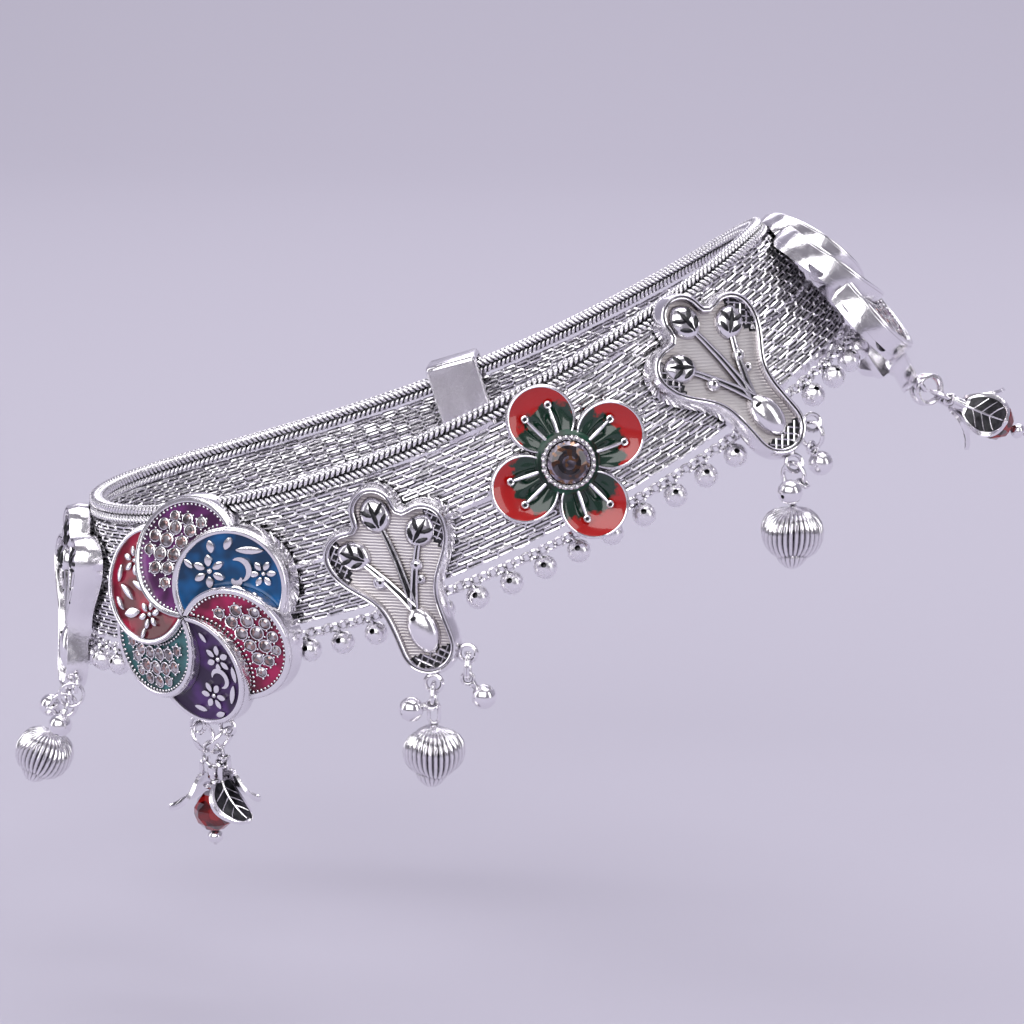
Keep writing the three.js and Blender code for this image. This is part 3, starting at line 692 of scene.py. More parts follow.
class AnkletBandSizes(bpy.types.PropertyGroup):
    link_length: length("Link length", "Length of one oval link of the woven band", 1.95)
    link_height: length("Link height", "Height of one oval link of the woven band", 0.5)
    link_wire: length("Link wire", "Radius of the wire of the oval links", 0.165)
    ring_radius: length("Fringe ring", "Radius of the small rings under the band", 0.66)
    ring_wire: length("Fringe wire", "Radius of the wire of the small rings", 0.2)
    ball_radius: length("Fringe ball", "Radius of the balls under the band", 1.4)
    upper_rows: bpy.props.IntProperty(
        name="Upper rows", description="Rows of links above the slit", default=9, min=1)
    lower_rows: bpy.props.IntProperty(
        name="Lower rows", description="Rows of links below the slit", default=8, min=1)


class AnkletMotifSizes(bpy.types.PropertyGroup):
    milgrain: length("Milgrain", "Radius of the small beads along a petal's rim", 0.2)
    small_stone: length("Small stone", "Radius of the small stones set in a petal", 0.7)
    relief: length("Relief", "Height of the raised leaves in the enamel", 0.42)
    lattice_pitch: length("Lattice pitch", "Distance between the wires of a plaque's lattice", 1.05)


class AnkletColours(bpy.types.PropertyGroup):
    silver: colour("Silver", "Colour of the silver plate", (0.95, 0.93, 0.96))
    purple: colour("Purple", "Enamel under the stones of the first petal", (0.2, 0.04, 0.21))
    blue: colour("Blue", "Enamel of the second petal", (0.0, 0.1, 0.3))
    pink: colour("Pink", "Enamel under the stones of the third petal", (0.4, 0.012, 0.09))
    violet: colour("Violet", "Enamel of the fourth petal", (0.075, 0.022, 0.15))
    teal: colour("Teal", "Enamel under the stones of the fifth petal", (0.03, 0.16, 0.17))
    red: colour("Red", "Enamel of the sixth petal", (0.36, 0.0, 0.035))
    floor: colour("Floor", "Colour of the floor", (0.27, 0.255, 0.31))


class AnkletStageSizes(bpy.types.PropertyGroup):
    azimuth: bpy.props.FloatProperty(
        name="Azimuth", description="Way round from which the camera looks", default=math.radians(8),
        unit="ROTATION")
    elevation: bpy.props.FloatProperty(
        name="Elevation", description="Camera's height as an angle", default=math.radians(13),
        unit="ROTATION")
    distance: length("Distance", "From the camera to the point that it looks at", 340)
    floor_drop: length("Floor drop", "From the middle of the ankle opening down to the floor", 62)


# Chain pieces.

def lean(along, out, angle):
    """Turns the outward direction about the way along."""
    return Matrix.Rotation(angle, 3, along) @ out


def link_rows(name, start, end, rows, sizes, nodes, tree, face):
    """Rows of oval links in a brick pattern on one face of a bundle. Face is 1 outside and -1 inside."""
    chance = random.Random(len(name) * 7 + rows)
    pitch = (end - start) / rows
    places = []
    for row in range(rows):
        down = start + pitch * (row + 0.5)
        perimeter = 232 + 2 * down
        count = round(perimeter / (sizes.link_length * 1000 * 1.02))
        for angle in even_angles(down, count, 0.5 * (row % 2) + 0.25):
            along = way_along(angle, down)
            out = way_out(angle, down) * face
            turned = lean(along, out, chance.uniform(-0.3, 0.3))
            slanted = lean(turned, along, chance.uniform(-0.05, 0.05))
            middle = on_middle(angle, down + chance.uniform(-0.05, 0.05))
            places.append((middle + out * (0.46 + chance.uniform(-0.08, 0.1)), slanted, turned, 1.0))
    values = {
        "Length": sizes.link_length, "Height": sizes.link_height, "Wire": sizes.link_wire,
        "Corner steps": 2.0 if face > 0 else 1.0, "Wire sides": 5.0 if face > 0 else 4.0,
        "Finish": chain_silver(),
    }
    return repeat(name, tree, places, values, nodes)


def bundle_core(name, start, end, thickness):
    """The inner links of a bundle, seen between the outer ones: a ribbed strip in darker silver, painted
    shade.
    """
    steps = 600
    rings = []
    rows = 14
    for k in range(steps):
        angle = 2 * math.pi * k / steps
        ring = []
        for j in range(rows + 1):
            down = start + (end - start) * j / rows
            bulge = 0.12 * math.sin(k * 1.9 + j * 2.1)
            ring.append(on_band(angle, down, thickness[1] + bulge))
        for j in range(rows + 1):
            down = end - (end - start) * j / rows
            bulge = 0.14 * math.sin(k * 1.7 + j * 1.3)
            ring.append(on_band(angle, down, thickness[0] + bulge))
        rings.append(ring)
    pile = Pile()
    pile.put(loft(rings, closed=True))
    return make_piece(name, pile, [chain_core()], [])


def chain_core():
    # Darker copy of the silver, with ambient occlusion: painted shade between the outer links.
    return kept("inner links", lambda name: silver_finish(
        name, (0.4, 0.39, 0.41), (0.03, 0.03, 0.033), 0.3, 1500, 0.6, 0.4))


class AnkletTopChain(bpy.types.Operator):
    """Makes the herringbone chain along the band's top edge"""
    bl_idname = "anklet.top_chain"
    bl_label = "Top chain"

    def execute(self, context):
        tree = repeat_tree("herringbone grains", long_grain, {
            "Length": 0.0015, "Width": 0.0005, "Thickness": 0.0005})
        count = 340
        places = []
        for row, (down, slant) in enumerate(((0.6, 0.75), (1.6, -0.75))):
            for face in (1, -1):
                for angle in even_angles(down, count, 0.5 * row):
                    out = way_out(angle, down) * face
                    turned = lean(out, way_along(angle, down), (math.pi / 2 - slant) * face)
                    places.append((on_middle(angle, down) + out * 0.62, turned, out, 1.0))
        for side, slant in ((0.33, 0.75), (-0.33, -0.75)):
            for angle in even_angles(0.3, count, 0.25):
                up = -way_down(angle)
                turned = lean(up, way_along(angle, 0.3), math.pi / 2 - slant)
                places.append((on_middle(angle, 0.32) + way_out(angle, 0.3) * side, turned, up, 0.85))
        values = {"Length": 0.0015, "Width": 0.00055, "Thickness": 0.0008, "Finish": chain_silver()}
        repeat("top_chain_grains", tree, places, values, ["top_chain"])
        bundle_core("top_chain_core", 0.15, 2.05, (-0.55, 0.55))
        return {"FINISHED"}


class AnkletBand(bpy.types.Operator):
    """Makes the two bundles of oval links"""
    bl_idname = "anklet.band"
    bl_label = "Woven band"

    def execute(self, context):
        sizes = context.scene.anklet_band
        tree = repeat_tree("oval links", oval_link, {
            "Length": 0.0022, "Height": 0.0007, "Wire": 0.00014, "Corner steps": 2.0, "Wire sides": 5.0})
        bundles = (("upper_band", 2.55, 9.7, sizes.upper_rows), ("lower_band", 10.2, 16.6, sizes.lower_rows))
        for name, start, end, rows in bundles:
            link_rows(name + "_links", start, end, rows, sizes, [name], tree, 1)
            link_rows(name + "_inner_links", start, end, rows, sizes, [], tree, -1)
            bundle_core(name + "_core", start + 0.2, end - 0.2, (-0.3, 0.3))
        return {"FINISHED"}


class AnkletFringe(bpy.types.Operator):
    """Makes the chain of small rings and its balls"""
    bl_idname = "anklet.fringe"
    bl_label = "Ball fringe"

    def execute(self, context):
        sizes = context.scene.anklet_band
        rings = repeat_tree("fringe rings", round_ring, {"Radius": 0.0007, "Wire": 0.0002})
        down = 18
        places = []
        for k, angle in enumerate(even_angles(down, 248, 0.5)):
            along = way_along(angle, down)
            out = way_out(angle, down)
            places.append((on_middle(angle, down), along, lean(along, out, 0.7 if k % 2 else -0.8), 1.0))
        hung = []
        for angle in even_angles(down, 62, 0.5):
            if abs(angle - math.pi) < math.radians(7):
                continue
            out = way_out(angle, down)
            along = way_along(angle, down)
            places.append((on_middle(angle, down + 0.6) + out * 0.1, way_down(angle), along, 0.8))
            hung.append((on_middle(angle, down + 1.9), along, lean(along, out, -0.35), 1.0))
        values = {"Radius": sizes.ring_radius, "Wire": sizes.ring_wire, "Finish": chain_silver()}
        repeat("fringe_rings", rings, places, values, [])
        shape = ball(1.0, 14, 9, 0.24)
        # The faces of the drilled hole take the black painted shade.
        drilled = shape_object("drilled ball", shape, set(range(14 * 2)))
        beads = repeat_tree("fringe balls", given_shape, {"Shape": None}, two_finishes=True)
        scale = sizes.ball_radius * 1000
        hung = [(point, along, out, scale) for point, along, out, _ in hung]
        values = {"Shape": drilled, "Finish": chain_silver(), "Hollow finish": black_shade()}
        repeat("fringe_balls", beads, hung, values, ["ball_fringe"])
        return {"FINISHED"}


class AnkletClasp(bpy.types.Operator):
    """Makes the plain sleeve on the hidden side"""
    bl_idname = "anklet.clasp"
    bl_label = "Clasp"

    def execute(self, context):
        place = motif_matrix((180, 9.3, 0))
        pile = Pile()
        rings = []
        corner = 0.8
        for x, inset in ((-3.5, 0.35), (-3.3, 0.1), (-3.0, 0.0), (3.0, 0.0), (3.3, 0.1), (3.5, 0.35)):
            rings.append(rounded_box(x, 21.6 - 2 * inset, 5 - 2 * inset, corner))
        for x in (3.5, -3.5):
            rings.append(rounded_box(x, 20.0, 3.4, 0.4))
        pile.put(loft(rings, closed=True), place)
        make_piece("clasp_sleeve", pile, [silver()], ["clasp"], 50)
        return {"FINISHED"}


def rounded_box(x, height, depth, corner):
    """A ring of points round a box with round corners, standing across x."""
    ring = []
    for k, (sy, sz) in enumerate(((1, 1), (-1, 1), (-1, -1), (1, -1))):
        for step in range(5):
            turn = math.pi / 2 * (k + step / 4)
            y = sy * (height / 2 - corner) + corner * math.cos(turn)
            z = sz * (depth / 2 - corner) + corner * math.sin(turn)
            ring.append(Vector((x, y, z)))
    return ring


# Pinwheel flowers.

def petal_centre(k):
    axis = math.radians(FIRST_AXIS - 60 * k)
    return Vector((PETAL_REACH * math.cos(axis), PETAL_REACH * math.sin(axis)))


def petal_height(k, x, y):
    axis = math.radians(FIRST_AXIS - 60 * k)
    u = x * math.cos(axis) + y * math.sin(axis)
    v = -x * math.sin(axis) + y * math.cos(axis)
    middle = CROWN - PETAL_REACH * OUTWARD_SLOPE
    return middle - OUTWARD_SLOPE * (u - PETAL_REACH) + SIDE_SLOPE * v


def petal_ring(k, radius, cut):
    """Points round what shows of petal k: first along its own circle, then along its neighbour's."""
    own, neighbour = petal_centre(k), petal_centre(k + 1)
    between = neighbour - own
    gap = between.length
    towards = math.atan2(between.y, between.x)
    reach = (radius ** 2 - cut ** 2 + gap ** 2) / (2 * gap)
    half = math.acos(max(-1.0, min(1.0, reach / radius)))
    ring = []
    for i in range(60):
        turn = towards + half + (2 * math.pi - 2 * half) * i / 60
        ring.append((own.x + radius * math.cos(turn), own.y + radius * math.sin(turn), False))
    back = math.acos(max(-1.0, min(1.0, (gap - reach) / cut)))
    facing = towards + math.pi
    for i in range(28):
        turn = facing + back - 2 * back * i / 28
        ring.append((neighbour.x + cut * math.cos(turn), neighbour.y + cut * math.sin(turn), True))
    return ring


def petal_tray(k):
    """A petal's silver tray, with a stepped, rounded rim along its own circle."""
    profile = (
        (0.1, -2.5), (0.0, -2.4), (0.0, -0.5), (0.03, -0.42), (0.13, -0.4), (0.15, -0.14), (0.22, -0.03),
        (0.36, 0.0), (0.56, 0.0), (0.68, -0.05), (0.76, -0.2), (0.8, -0.9),
    )
    rings = []
    for inset, drop in profile:
        ring = []
        for x, y, hidden in petal_ring(k, PETAL_RADIUS - inset, PETAL_RADIUS - PETAL_OVERLAP):
            lowered = min(drop, -0.7) if hidden else drop
            ring.append(Vector((x, y, petal_height(k, x, y) + lowered)))
        rings.append(ring)
    return loft(rings)


def petal_inlay(k):
    """A petal's enamel: a shallow dish inside the rim."""
    rings = []
    for inset, drop in ((0.78, -0.8), (0.77, -0.36), (0.95, -0.42), (1.6, -0.48), (2.8, -0.53), (4.0, -0.55)):
        ring = []
        for x, y, _ in petal_ring(k, PETAL_RADIUS - inset, PETAL_RADIUS + 0.02 + 0.3 * (inset - 0.77)):
            ring.append(Vector((x, y, petal_height(k, x, y) + drop)))
        rings.append(ring)
    return loft(rings)


def rosette_radius(turn):
    """How far the flower reaches in a direction, and which petal is outermost there."""
    best = (0.0, 0)
    for k in range(6):
        apart = turn - math.radians(FIRST_AXIS - 60 * k)
        across = PETAL_REACH * math.sin(apart)
        if abs(across) < PETAL_RADIUS:
            reach = PETAL_REACH * math.cos(apart) + math.sqrt(PETAL_RADIUS ** 2 - across ** 2)
            best = max(best, (reach, k))
    return best


def flower_wall(station):
    """The flower's side wall down to the band, before its oval windows are cut."""
    seat = Seat(station)
    outer_low, outer_high, inner_high, inner_low = [], [], [], []
    count = 180
    for i in range(count):
        turn = 2 * math.pi * i / count
        reach, k = rosette_radius(turn)
        x, y = math.cos(turn), math.sin(turn)
        sides = ((outer_high, outer_low, reach - 0.03), (inner_high, inner_low, reach - 1.1))
        for high, low, radius in sides:
            px, py = x * radius, y * radius
            high.append(Vector((px, py, petal_height(k, px, py) - 1.3)))
            bottom = max(seat.height(px, py), petal_height(k, px, py) - WALL_HEIGHT)
            bottom = min(bottom, high[-1].z - 0.1)
            low.append(Vector((px, py, bottom)))
    return loft([outer_low, outer_high, inner_high, inner_low], closed=True)


def cut_windows(name, wall, turn):
    """Cuts the gallery's windows through a wall and gives its points and faces back."""
    mesh = bpy.data.meshes.new(name)
    mesh.from_pydata([point * MM for point in wall[0]], [], wall[1])
    body = scene_link(bpy.data.objects.new(name, mesh))
    pile = Pile()
    for angle in GALLERY_ANGLES:
        shape = lathe([(1.1, 8), (1.1, 17)], 20)
        flat = Matrix.Diagonal((1.0, 1.0, GALLERY_NARROWING, 1.0))
        lie = Matrix.Rotation(math.radians(angle - turn), 4, "Z") @ Matrix.Translation((0, 0, GALLERY_HEIGHT))
        pile.put(shape, lie @ flat @ Matrix.Rotation(math.pi / 2, 4, "Y"))
    cutter_mesh = bpy.data.meshes.new("windows")
    cutter_mesh.from_pydata([point * MM for point in pile.points], [], pile.faces)
    work = bmesh.new()
    for data in (mesh, cutter_mesh):
        work.clear()
        work.from_mesh(data)
        bmesh.ops.remove_doubles(work, verts=work.verts, dist=1e-7)
        bmesh.ops.recalc_face_normals(work, faces=work.faces)
        work.to_mesh(data)
    work.free()
    cutter = scene_link(bpy.data.objects.new("windows", cutter_mesh))
    modifier = body.modifiers.new("Windows", "BOOLEAN")
    modifier.operation = "DIFFERENCE"
    modifier.solver = "EXACT"
    modifier.object = cutter
    graph = bpy.context.evaluated_depsgraph_get()
    cut = bpy.data.meshes.new_from_object(body.evaluated_get(graph))
    points = [vertex.co / MM for vertex in cut.vertices]
    faces = [tuple(polygon.vertices) for polygon in cut.polygons]
    bpy.data.objects.remove(body)
    bpy.data.objects.remove(cutter)
    return points, faces


def flower_eyelets(turn):
    """Places of the two eyelets under the petal that points down."""
    axes = [math.radians(FIRST_AXIS - 60 * k) for k in range(6)]
    axis = min(axes, key=lambda a: math.sin(a + math.radians(turn)))
    reach = PETAL_RADIUS - 0.5 + EYELET[0]
    places = []
    for side in (-1, 1):
        direction = math.radians(-90 - turn + side * 17)
        x = PETAL_REACH * math.cos(axis) + reach * math.cos(direction)
        y = PETAL_REACH * math.sin(axis) + reach * math.sin(direction)
        places.append(Vector((x, y, FLOWER_EYELET_HEIGHT)))
    return places


# Relief in a petal is placed by (s, t): t from the flower's middle line outwards, s across.

def lune_point(k, s, t):
    axis = math.radians(FIRST_AXIS - 60 * k)
    centre = petal_centre(k)
    out = Vector((math.cos(axis + math.radians(60)), math.sin(axis + math.radians(60))))
    side = Vector((out.y, -out.x))
    return centre + out * t + side * s


def on_petal(k, s, t, lift=-0.45):
    point = lune_point(k, s, t)
    return Vector((point.x, point.y, petal_height(k, point.x, point.y) + lift))


def raised_leaf(pile, k, place, turn, size, height):
    """A small raised leaf in the enamel, its length along a turn in the petal."""
    s, t = place
    points, faces = dome(*size, height, 14, 0.3, 1.0)
    angle = math.radians(turn)
    placed = []
    for point in points:
        ds = point.x * math.cos(angle) - point.y * math.sin(angle)
        dt = point.x * math.sin(angle) + point.y * math.cos(angle)
        placed.append(on_petal(k, s + ds, t + dt, -0.52 + point.z))
    pile.put((placed, faces))


def raised_flower(pile, k, place, petals, reach, first, height):
    """A small flower of leaves round a bead."""
    s, t = place
    for i in range(petals):
        turn = first + 360 * i / petals
        way = (math.cos(math.radians(turn)), math.sin(math.radians(turn)))
        middle = (s + reach * 0.64 * way[0], t + reach * 0.64 * way[1])
        raised_leaf(pile, k, middle, turn, (reach * 0.74, reach * 0.46), height)
    pile.put(ball(reach * 0.19, 10, 6), Matrix.Translation(on_petal(k, s, t, -0.4)))


def raised_scroll(pile, k, place, radius, start, end, height):
    """A crescent in the enamel that tapers to both ends."""
    s, t = place
    steps = 14
    inner, outer = [], []
    for i in range(steps + 1):
        part = i / steps
        angle = math.radians(start + (end - start) * part)
        half = 0.04 + 0.3 * math.sin(math.pi * part) ** 0.7
        for edge, reach in ((inner, radius - half), (outer, radius + half)):
            edge.append((s + reach * math.cos(angle), t + reach * math.sin(angle)))
    rings = []
    for near, far in zip(inner, outer):
        corners = ((near, -0.7), (near, -0.52 + height), (far, -0.52 + height), (far, -0.7))
        rings.append([on_petal(k, *spot, lift) for spot, lift in corners])
    pile.put(loft(rings))


# Relief of the enamelled petals. Flowers: place, petals, reach, first turn. Leaves: place, turn, size.
# Scrolls: place, radius, first and last turn.
RELIEF = {
    "blue": {
        "flowers": (((-2.3, 1.9), 6, 2.0, 90), ((4.1, 1.4), 6, 1.6, 60)),
        "leaves": (
            ((-1.9, 4.8), 98, (1.6, 0.95)), ((0.2, 5.1), 62, (1.7, 0.95)), ((2.7, 4.2), -4, (3.5, 0.95)),
            ((-4.7, 2.9), 130, (1.5, 0.7)),
        ),
        "scrolls": (((1.2, 1.9), 1.35, 110, -70), ((1.0, 0.9), 0.5, 170, 380)),
    },
    "violet": {
        "flowers": (((-3.3, 2.4), 6, 1.8, 20), ((1.9, 2.9), 6, 1.8, 50)),
        "leaves": (
            ((0.1, 5.4), 6, (2.8, 0.75)), ((-2.7, 5.0), 28, (2.2, 0.75)), ((3.8, 4.4), -42, (1.6, 0.8)),
            ((4.7, 1.6), -75, (2.0, 0.75)), ((-4.9, -0.2), 62, (1.5, 0.65)),
        ),
        "scrolls": (((-0.9, 3.3), 1.1, 30, 290),),
    },
    "red": {
        "flowers": (((-3.1, 1.5), 6, 1.75, 15), ((3.6, 0.9), 6, 1.75, 40)),
        "leaves": (
            ((-1.6, 4.0), 68, (2.6, 1.25)), ((0.9, 3.6), 22, (2.9, 0.85)), ((0.6, 1.5), 35, (2.6, 0.8)),
            ((0.3, 5.3), 10, (2.0, 0.75)), ((3.4, 3.7), -40, (2.2, 0.85)), ((-4.6, 3.4), 128, (1.5, 0.7)),
        ),
        "scrolls": (),
    },
}


def floral_relief(k, name, height):
    """The flowers, leaves and scrolls of one enamelled petal."""
    pile = Pile()
    for place, petals, reach, first in RELIEF[name]["flowers"]:
        raised_flower(pile, k, place, petals, reach, first, height)
    for place, turn, size in RELIEF[name]["leaves"]:
        raised_leaf(pile, k, place, turn, size, height)
    for place, radius, start, end in RELIEF[name]["scrolls"]:
        raised_scroll(pile, k, place, radius, start, end, height)
    return pile


# Small stones of a petal: place across and outwards, and size.
STONES = (
    (-3.9, 0.9, 0.85), (-2.3, 1.5, 1.0), (-0.6, 1.6, 1.05), (1.1, 1.5, 1.0), (2.8, 1.2, 1.0),
    (4.3, 0.4, 0.85),
    (-3.1, 3.0, 0.95), (-1.4, 3.3, 1.05), (0.35, 3.35, 1.1), (2.1, 3.1, 1.05), (3.7, 2.2, 0.9),
    (-1.7, 4.8, 0.85), (0.0, 5.0, 0.95), (1.7, 4.7, 0.9), (3.2, 3.9, 0.8),
)


def stone_places(k):
    """Where the small stones stand in a petal, with their sizes."""
    return [(on_petal(k, s, t, -0.33), size) for s, t, size in STONES]


def grain_places(k, stone):
    """Small grains that hold the stones, in the gaps between them."""
    places = []
    for s, t, size in STONES:
        for turn in (30, 90, 150, 210, 270, 330):
            reach = stone * size + 0.22
            x = s + reach * math.cos(math.radians(turn))
            y = t + reach * math.sin(math.radians(turn))
            free = all(math.hypot(x - a, y - b) > stone * other + 0.1 for a, b, other in STONES)
            apart = all(math.hypot(x - a, y - b) > 0.4 for a, b in places)
            inside = math.hypot(x, y) < PETAL_RADIUS - 1.35
            clear = math.hypot(x, y + PETAL_REACH) > PETAL_RADIUS + 0.35
            if free and apart and inside and clear:
                places.append((x, y))
    return [on_petal(k, s, t, -0.38) for s, t in places]


def petal_normal(k):
    axis = math.radians(FIRST_AXIS - 60 * k)
    outward = Vector((math.cos(axis), math.sin(axis), 0))
    sideways = Vector((-math.sin(axis), math.cos(axis), 0))
    return (Vector((0, 0, 1)) + outward * OUTWARD_SLOPE - sideways * SIDE_SLOPE).normalized()


def milgrain_places(k):
    ring = [point for point in petal_ring(k, PETAL_RADIUS - 0.92, PETAL_RADIUS + 0.25)]
    places = []
    spare = 0.0
    for before, after in zip(ring, ring[1:]):
        start, end = Vector(before[:2]), Vector(after[:2])
        step = (end - start).length
        while spare < step:
            x, y = start + (end - start) * (spare / step)
            places.append(Vector((x, y, petal_height(k, x, y) - 0.33)))
            spare += 0.56
        spare -= step
    return places


def cut_stone_shape(radius=1.0):
    """A brilliant: a table, a crown of facets and a pointed back."""
    table = [Vector((0.58 * radius * math.cos(t), 0.58 * radius * math.sin(t), 0.36 * radius))
             for t in (math.pi / 4 * k for k in range(8))]
    girdle = [Vector((radius * math.cos(t), radius * math.sin(t), 0))
              for t in (math.pi / 8 * k for k in range(16))]
    points = table + girdle + [Vector((0, 0, -0.55 * radius))]
    faces = [tuple(range(8))]
    for k in range(8):
        following = (k + 1) % 8
        low = 8 + 2 * k
        middle = 8 + (2 * k + 1) % 16
        high = 8 + (2 * k + 2) % 16
        faces += [(k, low, middle), (k, middle, following), (following, middle, high)]
    faces += [(8 + (k + 1) % 16, 8 + k, 24) for k in range(16)]
    return points, faces


class AnkletFlowers(bpy.types.Operator):
    """Makes the two six-petal flowers: castings, enamel, relief, milgrain and stones"""
    bl_idname = "anklet.flowers"
    bl_label = "Six-petal flowers"

    def execute(self, context):
        sizes = context.scene.anklet_motifs
        relief = sizes.relief * 1000
        grains = repeat_tree("milgrain", long_grain, {"Length": 0.0003, "Width": 0.0003, "Thickness": 0.0003})
        stones = repeat_tree("small stones", given_shape, {"Shape": None})
        stone = shape_object("small stone", cut_stone_shape())
        collar = shape_object("stone collar", lathe(
            [(1.0, -0.3), (1.2, -0.3), (1.18, 0.1), (1.0, 0.14)], 12, True))
        for name in ("side_flower", "front_flower"):
            station = STATIONS[name]
            place = motif_matrix(station)
            turned = place.to_3x3()
            casting = Pile()
            for k in range(6):
                casting.put(petal_tray(k), place)
            casting.put(cut_windows(name + "_wall", flower_wall(station), station[2]), place)
            for eyelet_place in flower_eyelets(station[2]):
                casting.put(wire_ring(EYELET), place @ Matrix.Translation(eyelet_place))
            make_piece(name + "_silver", casting, [silver()], [name + "_casting"])
            beads, set_stones = [], []
            for k, petal in enumerate(PETAL_NAMES):
                inlay = Pile()
                inlay.put(petal_inlay(k), place)
                make_piece(
                    f"{name}_{petal}", inlay, [enamel(petal)], [f"{name}_enamel_{k + 1}"])
                up = turned @ petal_normal(k)
                side = up.orthogonal().normalized()
                if k % 2:
                    pile = floral_relief(k, petal, relief)
                    pile.points = [place @ point for point in pile.points]
                    make_piece(f"{name}_{petal}_relief", pile, [silver()], [])
                else:
                    beads += [(place @ point, side, up, 1.0) for point in milgrain_places(k)]
                    stone_size = sizes.small_stone * 1000
                    beads += [(place @ point, side, up, 0.85) for point in grain_places(k, stone_size)]
                    set_stones += [
                        (place @ point, side, up, size * stone_size)
                        for point, size in stone_places(k)
                    ]
            grain = 2 * sizes.milgrain
            values = {"Length": grain, "Width": grain, "Thickness": grain, "Finish": silver()}
            repeat(name + "_milgrain", grains, beads, values, [])
            values = {"Shape": stone, "Finish": pave_stone()}
            repeat(name + "_stones", stones, set_stones, values, [], 5)
            values = {"Shape": collar, "Finish": silver()}
            repeat(name + "_collars", stones, set_stones, values, [])
        return {"FINISHED"}


# Flower with four petals.

def clover_bowl(k):
    """A petal's basin of enamel with raised ridges, and the tone of each point."""
    inner = CLOVER_RADIUS - 0.36
    turn = math.pi / 2 * k
    rings, tones = [], []
    depth = CLOVER_TOP - 0.2 - CLOVER_FLOOR
    for step in range(11):
        radius = inner * (1 - step / 10.5)
        ring = []
        for i in range(48):
            t = 2 * math.pi * i / 48
            x = CLOVER_REACH + radius * math.cos(t)
            y = radius * math.sin(t)
            height = CLOVER_FLOOR + depth * (radius / inner) ** 2.6
            from_middle = math.hypot(x, y)
            sway = math.degrees(math.atan2(y, x))
            fade = max(0.0, min(1.0, (7.2 - from_middle) / 2.4))
            height += 0.3 * fade * math.cos(math.radians(sway * 15)) * (1 - (radius / inner) ** 4)
            ring.append(Matrix.Rotation(turn, 3, "Z") @ Vector((x, y, height)))
            tones.append(max(0.0, min(1.0, (from_middle - 4.4) / 5.0 + 0.16 * (radius / inner) ** 3)))
        rings.append(ring)
    low = [Vector((point.x, point.y, CLOVER_FLOOR - 0.3)) for point in rings[0]]
    points, faces = loft([low, *rings])
    tones = tones[:48] + tones[:48] + tones + [tones[-1]] * 48
    return (points, faces), tones


def clover_wall(k, seat):
    """The rim and side wall of one petal."""
    rings = []
    for i in range(64):
        t = 2 * math.pi * i / 64
        ring = []
        for inset, height in (
            (0.0, None), (0.0, CLOVER_TOP - 0.62), (0.1, CLOVER_TOP - 0.55), (0.12, CLOVER_TOP - 0.2),
            (0.17, CLOVER_TOP - 0.03), (0.26, CLOVER_TOP), (0.36, CLOVER_TOP - 0.05),
            (0.42, CLOVER_TOP - 0.25),
            (0.42, CLOVER_FLOOR - 0.6),
        ):
            radius = CLOVER_RADIUS - inset
            point = Vector((CLOVER_REACH + radius * math.cos(t), radius * math.sin(t), 0))
            point = Matrix.Rotation(math.pi / 2 * k, 3, "Z") @ point
            point.z = height if height is not None else min(seat.height(point.x, point.y), 1.6)
            ring.append(point)
        rings.append(ring)
    return loft(rings, closed=True)


